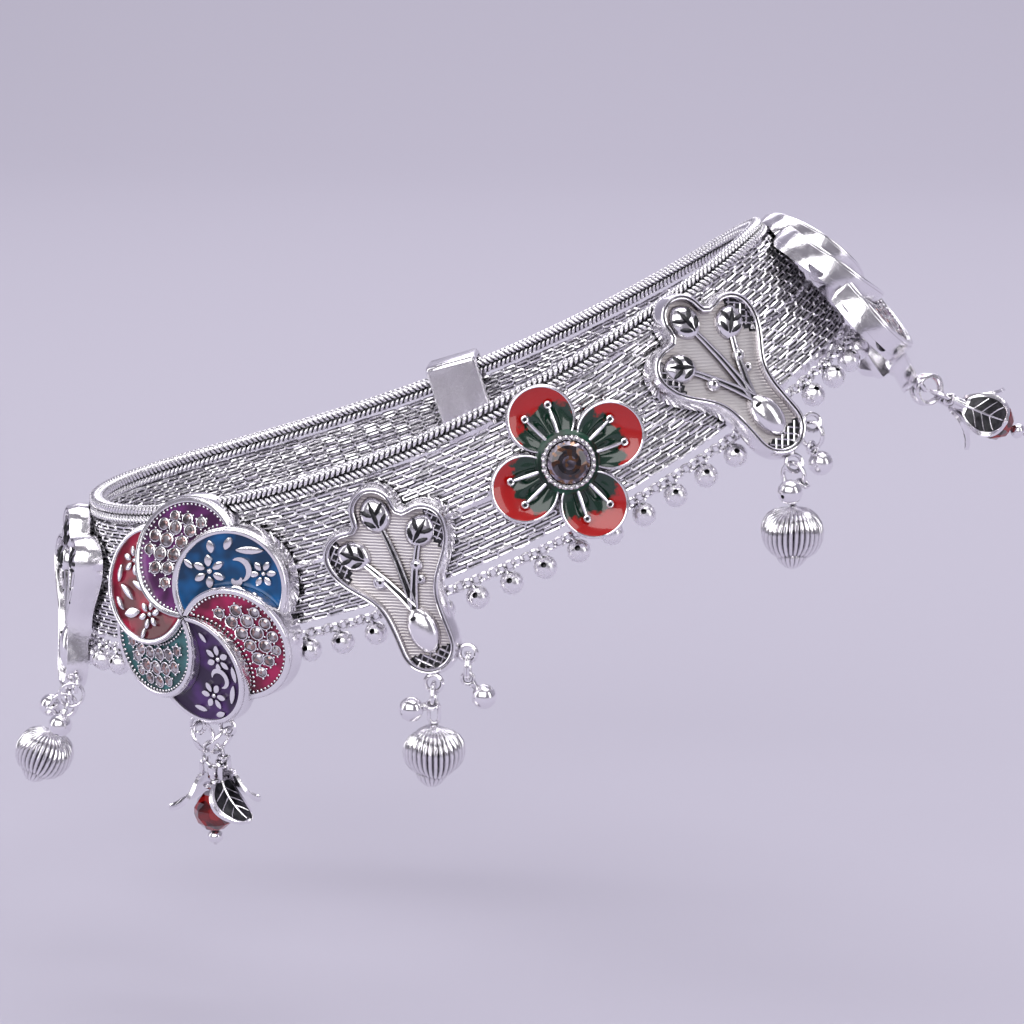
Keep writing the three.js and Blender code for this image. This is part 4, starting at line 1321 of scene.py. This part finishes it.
class AnkletClover(bpy.types.Operator):
    """Makes the four-petal flower with its bezel, stamens and stone"""
    bl_idname = "anklet.clover"
    bl_label = "Four-petal flower"

    def execute(self, context):
        station = STATIONS["four_petal"]
        place = motif_matrix(station)
        seat = Seat(station)
        finish = kept("red and green enamel", lambda name: clover_finish(
            name, (0.42, 0.004, 0.003), (0.0, 0.024, 0.011)))
        casting = Pile()
        for k in range(4):
            casting.put(clover_wall(k, seat), place)
            (points, faces), tones = clover_bowl(k)
            bowl = Pile()
            bowl.put((points, faces), place)
            make_piece(f"four_petal_basin_{k + 1}", bowl, [finish], [f"four_petal_enamel_{k + 1}"],
                       60, tones)
            stamens(casting, k, place)
        bezel = lathe([
            (BEZEL_RADIUS, 1.0), (BEZEL_RADIUS, BEZEL_TOP - 0.3), (BEZEL_RADIUS - 0.1, BEZEL_TOP),
            (STONE_RADIUS + 0.12, BEZEL_TOP), (STONE_RADIUS + 0.05, BEZEL_TOP - 0.2),
            (STONE_RADIUS + 0.05, 1.0),
        ], 48, True)
        casting.put(bezel, place)
        casting.put(lathe([(2, 0.9), (2, 1.6)], 16), place)
        make_piece("four_petal_silver", casting, [silver(), black_shade()], ["four_petal_casting"])
        collar = Pile()
        ring = lathe([(3.14, 1.5), (3.75, 1.5), (3.7, 2.75), (3.45, 3.0), (3.14, 3.05)], 48, True)
        collar.put(ring, place)
        make_piece("four_petal_collar", collar, [enamel_green()], [])
        grains = repeat_tree("bezel grains", long_grain, {
            "Length": 0.0006, "Width": 0.0005, "Thickness": 0.0006})
        beads = []
        for k in range(28):
            t = 2 * math.pi * k / 28
            point = Vector((2.86 * math.cos(t), 2.86 * math.sin(t), BEZEL_TOP + 0.02))
            side = place.to_3x3() @ Vector((math.cos(t), math.sin(t), 0))
            beads.append((place @ point, side, place.to_3x3() @ Vector((0, 0, 1)), 1.0))
        values = {"Length": 0.00056, "Width": 0.00054, "Thickness": 0.0005, "Finish": silver()}
        repeat("four_petal_milgrain", grains, beads, values, [])
        pile = Pile()
        pile.put(big_stone_shape(), place)
        finish = kept("grey violet stone", lambda name: stone_finish(
            name, (0.3, 0.26, 0.33), (0.07, 0.055, 0.075), (0.2, 0.09, 0.04), 900))
        # The facets round the table's middle take a darker copy of the stone's finish: painted shade.
        pile.finishes = [1 if k // 16 in (4, 5) else 0 for k in range(len(pile.faces))]
        table = kept("stone table", lambda name: stone_finish(
            name, (0.06, 0.05, 0.06), (0.02, 0.016, 0.02), (0.1, 0.04, 0.02), 900))
        make_piece("four_petal_stone", pile, [finish, table], ["centre_stone"], 5)
        return {"FINISHED"}


def enamel_green():
    return kept("green enamel", lambda name: enamel_finish(name, (0.0, 0.012, 0.006), (0.0, 0.06, 0.03)))


def big_stone_shape():
    """The centre stone: table, two rows of crown facets, girdle and back."""
    rows = (
        (0.5, 2.3, 0.0), (STONE_RADIUS, 4.1, 0.0), (STONE_RADIUS, 4.32, 0.0), (2.0, 4.8, 0.5),
        (1.35, 5.12, 0.0),
        (0.8, 5.13, 0.5),
    )
    count = 16
    rings = []
    for radius, height, shift in rows:
        turns = [2 * math.pi * (k + shift) / count for k in range(count)]
        rings.append([Vector((radius * math.cos(t), radius * math.sin(t), height)) for t in turns])
    return loft(rings)


def stamens(pile, k, place):
    """Two rods in a petal, each with a small ring at its end."""
    for sway in (-13, 13):
        turn = math.pi / 2 * k + math.radians(sway)
        way = Vector((math.cos(turn), math.sin(turn), 0))
        heights = ((3.3, 2.75), (4.4, 2.75), (5.5, 2.5), (6.5, 2.45))
        path = [way * reach + Vector((0, 0, height)) for reach, height in heights]
        pile.put(sweep(path, [0.2, 0.26, 0.24, 0.16], 8), place)
        end = way * 6.85 + Vector((0, 0, 2.5))
        pile.put(wire_ring((0.32, 0.16), 14, 8), place @ Matrix.Translation(end))
        # A black ball in the ring paints the shade in its hole.
        pile.put(ball(0.2, 10, 6), place @ Matrix.Translation(end - Vector((0, 0, 0.05))), 1)


# Filigree plaques.

def arc(x, y, radius, start, end, steps):
    turns = [math.radians(start + (end - start) * k / steps) for k in range(steps + 1)]
    return [Vector((x + radius * math.cos(t), y + radius * math.sin(t))) for t in turns]


def plaque_outline(count=180):
    """Points at even distances round the plaque."""
    side_x, side_y, side = SIDE_LOBE
    top_y, top = TOP_LOBE
    waist_x, waist_y = WAIST
    tail_y, end = TAIL
    widest = side_x + side
    right = bezier(((end, tail_y), (end, tail_y + 3), (waist_x - 0.6, waist_y - 1), (waist_x, waist_y)), 12)
    right += bezier((
        (waist_x, waist_y), (waist_x + 0.5, waist_y + 1.6), (widest, side_y - 3.4), (widest, side_y)), 12)
    right += arc(side_x, side_y, side, 0, 118, 14)
    half_top = arc(0, top_y, top, -14, 90, 14)
    left = [Vector((-point.x, point.y)) for point in reversed(right)]
    points = arc(0, tail_y, end, 180, 360, 24)[:-1] + right + half_top
    points += [Vector((-point.x, point.y)) for point in reversed(half_top)][1:] + left
    for _ in range(2):
        count = len(points)
        points = [(points[k - 1] + points[k] * 2 + points[(k + 1) % count]) / 4 for k in range(count)]
    return even_loop(points, count)


def even_loop(points, count):
    lengths = [0.0]
    for k, point in enumerate(points):
        lengths.append(lengths[-1] + (points[(k + 1) % len(points)] - point).length)
    made = []
    place = 0
    for k in range(count):
        wanted = lengths[-1] * k / count
        while lengths[place + 1] < wanted:
            place += 1
        part = (wanted - lengths[place]) / max(1e-9, lengths[place + 1] - lengths[place])
        made.append(points[place].lerp(points[(place + 1) % len(points)], part))
    return made


def inset_loop(points, inset):
    """The loop moved inwards. Points run the way round that has the inside on their left."""
    made = []
    count = len(points)
    for k, point in enumerate(points):
        along = (points[(k + 2) % count] - points[k - 2]).normalized()
        made.append(point + Vector((-along.y, along.x)) * inset)
    return made


def inside_loop(x, y, loop):
    inside = False
    for a, b in zip(loop, loop[1:] + loop[:1]):
        if (a.y > y) != (b.y > y) and x < (b.x - a.x) * (y - a.y) / (b.y - a.y) + a.x:
            inside = not inside
    return inside


def plaque_tray(seat):
    """The plaque's wall, its double rim and its floor."""
    outline = plaque_outline()
    top = PLAQUE_TOP
    profile = (
        (0.9, "seat"), (0.0, "seat"), (0.0, top - 1.5), (0.05, top - 1.2), (0.3, top - 0.3),
        (0.4, top - 0.05), (0.5, top), (0.6, top - 0.06), (0.66, top - 0.3), (0.76, top - 0.3),
        (0.82, top - 0.12), (0.9, top - 0.08),
        (0.98, top - 0.15), (1.04, top - 0.5), (1.1, PLAQUE_FLOOR), (1.6, PLAQUE_FLOOR - 0.08),
        (2.2, PLAQUE_FLOOR - 0.08),
    )
    rings = []
    for inset, height in profile:
        ring = []
        for point in inset_loop(outline, inset):
            z = min(seat.height(point.x, point.y), 1.6) if height == "seat" else height
            ring.append(Vector((point.x, point.y, z)))
        rings.append(ring)
    flat = [Vector((point.x, point.y, PLAQUE_FLOOR - 0.08)) for point in inset_loop(outline, 2.2)]
    floor = [[Vector((point.x * part, 0.8 + (point.y - 0.8) * part, PLAQUE_FLOOR - 0.08)) for point in flat]
             for part in (0.84, 0.66, 0.48, 0.3, 0.12)]
    under = [Vector((point.x * 0.9, point.y * 0.95, PLAQUE_FLOOR - 0.8)) for point in outline]
    return loft([under, *rings, *floor])


def latticed(x, y):
    """Whether the plaque has its lattice here: in the tail's end and in the side lobes' edges."""
    return y < -8.3 or (abs(x) > 5.4 and y > 2.5)


def tray_finishes(shape):
    """Satin on the floor, black painted shade under the lattice and plain silver elsewhere."""
    points, faces = shape
    finishes = []
    for face in faces:
        middle = sum((points[corner] for corner in face), Vector()) / len(face)
        low = PLAQUE_FLOOR - 0.1 < middle.z < PLAQUE_FLOOR + 0.02
        finishes.append(0 if not low else 1 if latticed(middle.x, middle.y) else 2)
    return finishes


def plaque_leaf(pile, x, y, turn, long, wide):
    """A carved leaf with black painted shade in the cuts of its veins."""
    place = Matrix.Translation((x, y, PLAQUE_FLOOR)) @ Matrix.Rotation(math.radians(turn), 4, "Z")
    pile.put(dome(long, wide, 0.85, 20, 0.15), place)
    cuts = [((-0.34, 0.0), (0.36, 0.0))]
    for start, side in ((-0.3, 1), (0.0, 1), (-0.3, -1), (0.0, -1)):
        cuts.append(((start, 0.07 * side), (start + 0.24, 0.35 * side)))
    for (x1, y1), (x2, y2) in cuts:
        path = []
        for part in (0, 0.3, 0.7, 1):
            px, py = x1 + (x2 - x1) * part, y1 + (y2 - y1) * part
            swell = max(0.0, 1 - (2 * px) ** 2 * 0.9 - (2 * py) ** 2 * 0.8) ** 0.5
            path.append(Vector((px * long, py * wide, 0.85 * swell)))
        # Each cut is a black wire on the leaf: painted shade.
        pile.put(sweep(path, [0.1, 0.28, 0.28, 0.1], 6), place, 1)


def lattice(pile, pitch):
    """Crossed wires in the tail and along the plaque's edge."""
    outline = plaque_outline(120)
    border = inset_loop(outline, 1.0)
    for way in (1, -1):
        for line in range(-22, 23):
            offset = line * pitch
            run = []
            for step in range(-60, 61):
                x = offset + step * 0.22
                y = way * step * 0.22
                shown = latticed(x, y) and inside_loop(x, y, border)
                if shown:
                    run.append(Vector((x, y, PLAQUE_FLOOR + 0.04)))
                    continue
                if len(run) > 2:
                    pile.put(sweep(run[::3] + [run[-1]] if len(run) > 4 else run, 0.13, 5))
                run = []


class AnkletPlaques(bpy.types.Operator):
    """Makes the three filigree plaques"""
    bl_idname = "anklet.plaques"
    bl_label = "Filigree plaques"

    def execute(self, context):
        pitch = context.scene.anklet_motifs.lattice_pitch * 1000
        wires = Pile()
        lattice(wires, pitch)
        for name in ("heel_plaque", "near_plaque", "instep_plaque"):
            station = STATIONS[name]
            place = motif_matrix(station)
            pile = Pile()
            tray = plaque_tray(Seat(station))
            pile.put(tray)
            pile.finishes = tray_finishes(tray)
            pile.put((wires.points, wires.faces))
            fork = Vector((0.1, -3.0, PLAQUE_FLOOR + 0.35))
            leaves = ((0, 8.6, 90, 4.4, 3.8), (4.2, 5.1, 40, 4.2, 3.6), (-4.2, 5.1, 140, 4.2, 3.6))
            for x, y, turn, long, wide in leaves:
                plaque_leaf(pile, x, y, turn, long, wide)
                twin_stem(pile, Vector((x, y, PLAQUE_FLOOR + 0.15)), fork)
            pile.put(dome(6.0, 3.7, 1.2, 24, 0.1), bulb_place())
            # A small black patch on the bulb, in the black painted shade.
            pile.put(dome(0.9, 0.5, 0.25, 12), Matrix.Translation((-0.25, -4.0, PLAQUE_FLOOR + 0.92)), 1)
            for x, y, radius in ((-2.4, 1.2, 0.85), (2.3, 1.6, 0.7), (2.1, -0.1, 0.55)):
                pile.put(dome(2 * radius, 2 * radius, 0.5, 16), Matrix.Translation((x, y, PLAQUE_FLOOR)))
                raised = Matrix.Translation((x, y, PLAQUE_FLOOR + 0.25))
                pile.put(wire_ring((radius - 0.1, 0.14), 18, 6), raised)
                # A black ball in the ring paints the shade in its hole.
                pile.put(ball(0.22, 10, 6), Matrix.Translation((x, y, PLAQUE_FLOOR + 0.42)), 1)
            for spot in PLAQUE_EYELETS:
                pile.put(wire_ring(EYELET), Matrix.Translation(spot))
            pile.points = [place @ point for point in pile.points]
            finishes = [silver(), black_shade(), satin_silver()]
            make_piece(name + "_silver", pile, finishes, [name + "_casting"])
        return {"FINISHED"}


def bulb_place():
    """Where the smooth bulb lies: its length down the tail."""
    return Matrix.Translation((0.1, -5.7, PLAQUE_FLOOR)) @ Matrix.Rotation(math.pi / 2, 4, "Z")


def twin_stem(pile, start, fork):
    """Two wires side by side, with a black wire between them as the groove's painted shade."""
    bow = Vector((0.3 if start.x <= 0 else -0.3, 0, 0))
    across = (fork - start).cross(Vector((0, 0, 1))).normalized()
    # The middle wire is black: painted shade in the groove.
    for shift, radius, lift, finish in ((-1, 0.17, 0.05, 0), (1, 0.17, 0.05, 0), (0, 0.15, 0.0, 1)):
        path = []
        for part in (0, 0.25, 0.5, 0.75, 1):
            point = start.lerp(fork, part) + bow * math.sin(math.pi * part)
            path.append(point + across * shift * (0.16 + 0.2 * part) + Vector((0, 0, lift)))
        pile.put(sweep(path, radius, 6), finish=finish)


# Drops.

def hanging_ring(size, tilt=0.0, double=False):
    """A jump ring, or one bent in two turns, hanging by its top from the origin."""
    radius, wire = size
    if double:
        turns = [4 * math.pi * k / 56 for k in range(57)]
        path = [Vector((0.26 * (t / (2 * math.pi) - 1), radius * math.sin(t), radius * math.cos(t) - radius))
                for t in turns]
        points, faces = sweep(path, wire * 0.66, 8)
    else:
        points, faces = wire_ring(size, 28, 8)
        stand = Matrix.Translation((0, 0, -radius)) @ Matrix.Rotation(math.pi / 2, 4, "Y")
        points = [stand @ point for point in points]
    leaning = Matrix.Rotation(tilt, 4, "Y")
    return [leaning @ point for point in points], faces


def on_ring(size, turn):
    radius = size[0]
    return Vector((0, -radius * math.sin(turn), -radius * (1 + math.cos(turn))))


def tube_ball(size, ring_turn, to_side, drop, reach):
    """A ball with a drilled hole on a short tube, with an eye round the ring's wire."""
    turn = math.radians(ring_turn)
    place = on_ring(size, turn)
    pile = Pile()
    tilted = Matrix.Translation(place) @ Matrix.Rotation(math.pi / 2 - turn, 4, "X")
    pile.put(wire_ring(DROP_EYE, 18, 8), tilted)
    direction = Vector((to_side, 0, -drop)).normalized()
    aim = Matrix.Translation(place) @ direction.to_track_quat("Z", "Y").to_matrix().to_4x4()
    eye = DROP_EYE[0]
    tube = [(0.3, eye), (0.48, eye + 0.05), (0.48, eye + 0.3), (0.38, eye + 0.45),
            (0.38, reach - 0.9)]
    pile.put(lathe(tube, 12), aim)
    points, faces = ball(DROP_BALL, 20, 12, 0.24)
    spin = aim @ Matrix.Translation((0, 0, reach))
    first = len(pile.points)
    pile.points += [spin @ point for point in points]
    pile.faces += [[first + corner for corner in face] for face in faces]
    # The faces of the drilled hole take the second finish: black painted shade.
    pile.finishes += [1 if k < 20 * 2 else 0 for k in range(len(faces))]
    return pile


def ribbed(profile, sides, ribs, depth, hem=0.0):
    """A turned shape with ribs down its length. Hem waves its lowest edge."""
    rings = []
    for radius, height, fade in profile:
        ring = []
        for k in range(sides):
            t = 2 * math.pi * k / sides
            ridge = 1 + depth * fade * (abs(math.cos(ribs * t / 2)) ** 0.6 - 0.6)
            wave = hem * fade * math.cos(3 * t + 0.6) if height < -5 else 0.0
            ring.append(Vector((radius * ridge * math.cos(t), radius * ridge * math.sin(t), height + wave)))
        rings.append(ring)
    return loft(rings)


def bud_pile():
    """The ribbed bud on its long slotted link, hanging below a jump ring."""
    pile = Pile()
    eye_height = -2 * JUMP_RING[0]
    neck = eye_height - DROP_EYE[0]
    path = []
    for k in range(40):
        t = 2 * math.pi * k / 40
        stretch = 0 if math.sin(t) >= 0 else -1.15
        path.append(Vector((0.6 * math.cos(t), 0, eye_height + 0.62 * math.sin(t) + stretch)))
    pile.put(sweep(path, 0.24, 8, closed=True))
    calyx = [
        (0.45, neck - 1.3, 0.0), (0.7, neck - 1.55, 0.0), (1.4, neck - 1.75, 0.4), (2.15, neck - 2.1, 0.9),
        (2.8, neck - 2.6, 1.0), (3.25, neck - 3.3, 1.0), (3.45, neck - 4.2, 1.0), (3.4, neck - 5.1, 1.0),
        (3.1, neck - 5.9, 1.0), (2.6, neck - 6.6, 1.0), (2.0, neck - 7.1, 0.7), (1.4, neck - 7.2, 0.3),
    ]
    pile.put(ribbed(calyx, 128, 32, 0.15, 0.25))
    tongue = [
        (1.5, neck - 6.6, 0.3), (1.75, neck - 7.1, 1.0), (1.6, neck - 7.6, 1.0), (1.25, neck - 8.1, 1.0),
        (0.8, neck - 8.5, 0.8), (0.4, neck - 8.7, 0.4), (0.1, neck - 8.8, 0.0),
    ]
    pile.put(ribbed(tongue, 72, 18, 0.14), Matrix.Translation((-0.3, -0.2, 0)))
    return pile


def world_eyelets(name):
    station = STATIONS[name]
    place = motif_matrix(station)
    if name.endswith("flower"):
        return [place @ point for point in flower_eyelets(station[2])]
    return [place @ Vector(spot) for spot in PLAQUE_EYELETS]


def placed(pile, place):
    pile.points = [place @ point for point in pile.points]
    return pile


def one_shape(shape):
    pile = Pile()
    pile.put(shape)
    return pile


class AnkletBudDrops(bpy.types.Operator):
    """Makes the three drops with a ribbed bud and two balls"""
    bl_idname = "anklet.bud_drops"
    bl_label = "Bud drops"

    def execute(self, context):
        ways = {"heel": (-0.42, -0.1, -1), "near": (0, 0, -1), "instep": (0, 0, -1)}
        metals = [silver(), black_shade()]
        for name, way in ways.items():
            tops = world_eyelets(name + "_plaque")
            along = tops[1] - tops[0]
            first = hanging_matrix(tops[0], along, Vector(way))
            second = hanging_matrix(tops[1], along, Vector(way))
            drop = name + "_drop_"
            pieces = (
                ("ring_a", one_shape(hanging_ring(JUMP_RING)), first),
                ("ring_b", one_shape(hanging_ring(JUMP_RING, double=True)), second),
                ("bud", bud_pile(), first),
                ("ball_a", tube_ball(JUMP_RING, 62, -1, 0.25, 2.5), first),
                ("ball_b", tube_ball(JUMP_RING, 0, 0.8, 0.9, 2.8), second),
            )
            for node, pile, place in pieces:
                make_piece(drop + node + "_silver", placed(pile, place), metals, [drop + node], 50)
        return {"FINISHED"}


def blade_point(u, w, lift):
    """A point on a tulip petal: u from strap to tip, w from side to side, lifted off its middle."""
    strap, spread_out, fall = 1.5, 4.4, 4.6
    out = spread_out * (0.4 * u + 0.6 * u * u)
    low = strap + fall * (1.3 * u - 0.3 * u * u)
    half = 0.35 + 2.3 * max(0.0, math.sin(math.pi * min(1.0, u * 0.97 + 0.03))) ** 0.62
    if u > 0.93:
        half *= max(0.05, (1 - u) / 0.07) ** 0.5
    cup = 0.55 * w * w * math.sin(math.pi * u)
    slope_out = spread_out * (0.4 + 1.2 * u)
    slope_low = fall * (1.3 - 0.6 * u)
    norm = math.hypot(slope_out, slope_low)
    across = Vector((slope_low / norm, 0, slope_out / norm))
    return Vector((out, half * w, -low)) + across * (lift - cup)


def tulip_petal():
    """A cupped petal on a strap: a face in black painted shade, with a silver rim and veins."""
    pile = Pile()
    rows, columns = 16, 10
    rings = []
    for i in range(rows + 1):
        u = i / rows
        ring = []
        for j in range(columns + 1):
            w = -1 + 2 * j / columns
            ring.append(blade_point(u, w, 0.22 if abs(w) > 0.75 else 0.12))
        for j in range(columns + 1):
            w = 1 - 2 * j / columns
            ring.append(blade_point(u, w, -0.2))
        rings.append(ring)
    points, faces = loft(rings)
    count = 2 * (columns + 1)
    pile.put((points, faces))
    # The face inside the rim takes the black painted shade.
    for number in range(len(faces)):
        row, column = divmod(number, count)
        if 1 < row < rows and 1 <= column <= columns - 2:
            pile.finishes[number] = 1
    pile.put(sweep([blade_point(u, 0, 0.16) for u in (0.02, 0.2, 0.4, 0.6, 0.8, 0.92)],
                   [0.2, 0.17, 0.15, 0.13, 0.11, 0.08], 6))
    for start in (0.18, 0.38, 0.58):
        for side in (-1, 1):
            path = [blade_point(start + 0.2 * part, side * 0.74 * part, 0.16) for part in (0, 0.35, 0.7, 1)]
            pile.put(sweep(path, [0.11, 0.1, 0.09, 0.07], 5))
    pile.put(sweep([Vector((0, 0, 0)), Vector((0, 0, -0.8)), Vector((0.02, 0, -1.6))], [0.3, 0.34, 0.36], 8))
    return pile


def petal_on_eye(centre, wire_turn, side_turn, azimuth):
    """A petal whose small eye goes round the pin's large one."""
    turn = math.radians(wire_turn)
    radial = Vector((math.cos(turn), 0, math.sin(turn)))
    place = radial * PIN_EYE[0] + centre
    axis = Vector((-radial.z, 0, radial.x))
    stand = Vector((0, 0, 1)).rotation_difference(axis).to_matrix().to_4x4()
    side = math.radians(side_turn)
    root = radial * (PETAL_EYE[0] * math.cos(side)) + place
    root.y += PETAL_EYE[0] * math.sin(side)
    pile = Pile()
    pile.put(wire_ring(PETAL_EYE, 16, 6), Matrix.Translation(place) @ stand)
    petal = tulip_petal()
    first = len(pile.points)
    spot = Matrix.Translation(root) @ Matrix.Rotation(math.radians(azimuth), 4, "Z")
    pile.points += [spot @ point for point in petal.points]
    pile.faces += [[first + corner for corner in face] for face in petal.faces]
    pile.finishes += petal.finishes
    return pile


def tulip_pin(centre):
    shoulder = centre.z - PIN_EYE[0]
    profile = [
        (0.4, 0.0), (0.72, 0.08), (0.75, 0.25), (0.75, 1.35), (0.65, 1.5), (0.35, 1.75), (0.45, 2.0),
        (1.2, 2.15),
        (1.32, 2.3), (1.2, 2.5), (0.5, 2.9), (0.32, 3.1), (0.32, 7.8), (0.55, 8.1), (0.86, 8.4), (0.95, 8.75),
        (0.86, 9.15), (0.55, 9.45), (0.22, 9.55), (0.22, 9.8),
    ]
    pile = Pile()
    pile.put(wire_ring(PIN_EYE, 28, 8), Matrix.Translation(centre) @ Matrix.Rotation(math.pi / 2, 4, "X"))
    pile.put(lathe([(radius, shoulder - down) for radius, down in profile], 24))
    return pile


def tulip_bead(centre):
    """A faceted bead with a bore: rows of flat facets, each row half a facet on."""
    shoulder = centre.z - PIN_EYE[0]
    rows = ((0.5, 3.35, 0), (1.3, 3.35, 0), (2.1, 4.15, 0.5), (2.45, 5.1, 0), (2.45, 5.9, 0),
            (2.1, 6.85, 0.5),
            (1.3, 7.65, 0), (0.5, 7.65, 0))
    sides = 10
    rings = []
    for radius, down, shift in rows:
        turns = [2 * math.pi * (k + shift) / sides for k in range(sides)]
        rings.append([Vector((radius * math.cos(t), radius * math.sin(t), shoulder - down)) for t in turns])
    return one_shape(loft(rings, closed=True))


def bead_glass():
    material = kept("red glass", lambda name: stone_finish(
        name, (0.16, 0.003, 0.004), (0.02, 0.0, 0.001), (0.3, 0.01, 0.01), 420))
    shader = material.node_tree.nodes["Principled BSDF"]
    shader.inputs["Metallic"].default_value = 0.1
    shader.inputs["Roughness"].default_value = 0.04
    return material


class AnkletTulipDrops(bpy.types.Operator):
    """Makes the two drops with veined petals and a red bead"""
    bl_idname = "anklet.tulip_drops"
    bl_label = "Tulip drops"

    def execute(self, context):
        hung = (("side", (0, 0, -1), SIDE_PETALS), ("front", (1, 0.1, -0.46), FRONT_PETALS))
        metals = [silver(), black_shade()]
        for name, way, petals in hung:
            tops = world_eyelets(name + "_flower")
            along = tops[1] - tops[0]
            place = hanging_matrix((tops[0] + tops[1]) / 2, along, Vector(way))
            spacing = along.length / 2
            tilt = math.asin((spacing - 0.5) / (2 * TULIP_RING[0]))
            centre = Vector((0, 0, -2 * TULIP_RING[0] * math.cos(tilt) - 0.45))
            first = place @ Matrix.Translation((-spacing, 0, 0))
            second = place @ Matrix.Translation((spacing, 0, 0))
            drop = name + "_tulip_"
            pieces = [
                ("ring_a", one_shape(hanging_ring(TULIP_RING, -tilt)), first),
                ("ring_b", one_shape(hanging_ring(TULIP_RING, tilt)), second),
                ("pin", tulip_pin(centre), place),
            ]
            for k, turns in enumerate(petals):
                pieces.append((f"petal_{k + 1}", petal_on_eye(centre, *turns), place))
            for node, pile, matrix in pieces:
                make_piece(drop + node + "_silver", placed(pile, matrix), metals, [drop + node], 45)
            bead = placed(tulip_bead(centre), place)
            make_piece(drop + "bead_glass", bead, [bead_glass()], [drop + "bead"], 5)
        return {"FINISHED"}


# Stage.

def softbox(name, place, aim, width, height, power):
    light = bpy.data.lights.new(name, "AREA")
    light.shape = "RECTANGLE"
    light.size = width
    light.size_y = height
    light.energy = power
    obj = scene_link(bpy.data.objects.new(name, light))
    obj.location = place
    obj.rotation_euler = (Vector(aim) - Vector(place)).to_track_quat("-Z", "Y").to_euler()
    return obj


def backdrop():
    """The floor, which bends up into a wall far behind, as (points, faces)."""
    bend, back, height, half = 500, 1400, 6000, 12000
    profile = [(-12000.0, 0.0)]
    for k in range(13):
        turn = math.pi / 2 * k / 12
        profile.append((back - bend + bend * math.sin(turn), bend * (1 - math.cos(turn))))
    profile.append((back, height))
    points = [Vector((x, y, z)) for y, z in profile for x in (-half, half)]
    faces = [(2 * k, 2 * k + 1, 2 * k + 3, 2 * k + 2) for k in range(len(profile) - 1)]
    return points, faces


class AnkletStage(bpy.types.Operator):
    """Makes the floor, the lights and the camera"""
    bl_idname = "anklet.stage"
    bl_label = "Stage"

    def execute(self, context):
        scene = context.scene
        sizes = scene.anklet_stage
        pile = Pile()
        pile.put(backdrop())
        floor = bpy.data.meshes.new("floor")
        lowest = Vector((0, 0, -sizes.floor_drop))
        floor.from_pydata([point * MM + lowest for point in pile.points], [], pile.faces)
        floor.shade_smooth()
        floor.materials.append(floor_finish("pale floor", tuple(scene.anklet_colours.floor)))
        scene_link(bpy.data.objects.new("floor", floor))
        aim = (0.0, 0.0, 0.0)
        softbox("key softbox", (-0.15, -0.95, 0.6), aim, 1.3, 0.8, 9)
        softbox("right softbox", (0.95, -0.4, 0.4), aim, 0.3, 0.9, 1.8)
        softbox("left softbox", (-0.95, -0.15, 0.35), aim, 0.3, 0.9, 1.8)
        softbox("top softbox", (0.05, 0.1, 0.9), aim, 1.0, 0.6, 4.2)
        softbox("back softbox", (0.1, 1.0, 0.6), aim, 1.2, 0.4, 2.2)
        softbox("wall wash", (0.0, 0.35, 1.1), (0.0, 1.3, 0.1), 1.6, 0.4, 7)
        world = bpy.data.worlds.new("studio")
        world.use_nodes = True
        world.node_tree.nodes["Background"].inputs["Color"].default_value = (0.56, 0.53, 0.62, 1)
        world.node_tree.nodes["Background"].inputs["Strength"].default_value = 0.42
        scene.view_settings.view_transform = "Standard"
        scene.world = world
        camera = bpy.data.cameras.new("camera")
        camera.sensor_width = 36
        camera.lens = 36 * 2720 / 1024
        camera.clip_start = 0.01
        obj = scene_link(bpy.data.objects.new("camera", camera))
        target = Vector((10.25, 0, -8)) * MM
        level = math.cos(sizes.elevation)
        around = Vector((math.sin(sizes.azimuth), -math.cos(sizes.azimuth), 0))
        back = around * level + Vector((0, 0, math.sin(sizes.elevation)))
        obj.location = target + back * sizes.distance
        obj.rotation_euler = (-back).to_track_quat("-Z", "Y").to_euler()
        scene.camera = obj
        return {"FINISHED"}


OPERATORS = (
    AnkletStage, AnkletTopChain, AnkletBand, AnkletFringe, AnkletClasp, AnkletFlowers, AnkletClover,
    AnkletPlaques, AnkletBudDrops, AnkletTulipDrops,
)
GROUPS = {
    "anklet_band": AnkletBandSizes,
    "anklet_motifs": AnkletMotifSizes,
    "anklet_colours": AnkletColours,
    "anklet_stage": AnkletStageSizes,
}


class AnkletPanel(bpy.types.Panel):
    """Lists the anklet's sizes, colours and pieces"""
    bl_idname = "VIEW3D_PT_anklet"
    bl_label = "Payal anklet"
    bl_space_type = "VIEW_3D"
    bl_region_type = "UI"
    bl_category = "Anklet"

    def draw(self, context):
        layout = self.layout
        for group_name, group in GROUPS.items():
            box = layout.box()
            settings = getattr(context.scene, group_name)
            for setting in group.__annotations__:
                box.prop(settings, setting)
        for operator in OPERATORS:
            layout.operator(operator.bl_idname)


def register():
    for group_name, group in GROUPS.items():
        bpy.utils.register_class(group)
        setattr(bpy.types.Scene, group_name, bpy.props.PointerProperty(type=group))
    for operator in OPERATORS:
        bpy.utils.register_class(operator)
    bpy.utils.register_class(AnkletPanel)


def unregister():
    bpy.utils.unregister_class(AnkletPanel)
    for operator in reversed(OPERATORS):
        bpy.utils.unregister_class(operator)
    for group_name, group in GROUPS.items():
        delattr(bpy.types.Scene, group_name)
        bpy.utils.unregister_class(group)


def main():
    register()
    bpy.ops.anklet.stage()
    bpy.ops.anklet.top_chain()
    bpy.ops.anklet.band()
    bpy.ops.anklet.fringe()
    bpy.ops.anklet.clasp()
    bpy.ops.anklet.flowers()
    bpy.ops.anklet.clover()
    bpy.ops.anklet.plaques()
    bpy.ops.anklet.bud_drops()
    bpy.ops.anklet.tulip_drops()


if __name__ == "__main__":
    main()
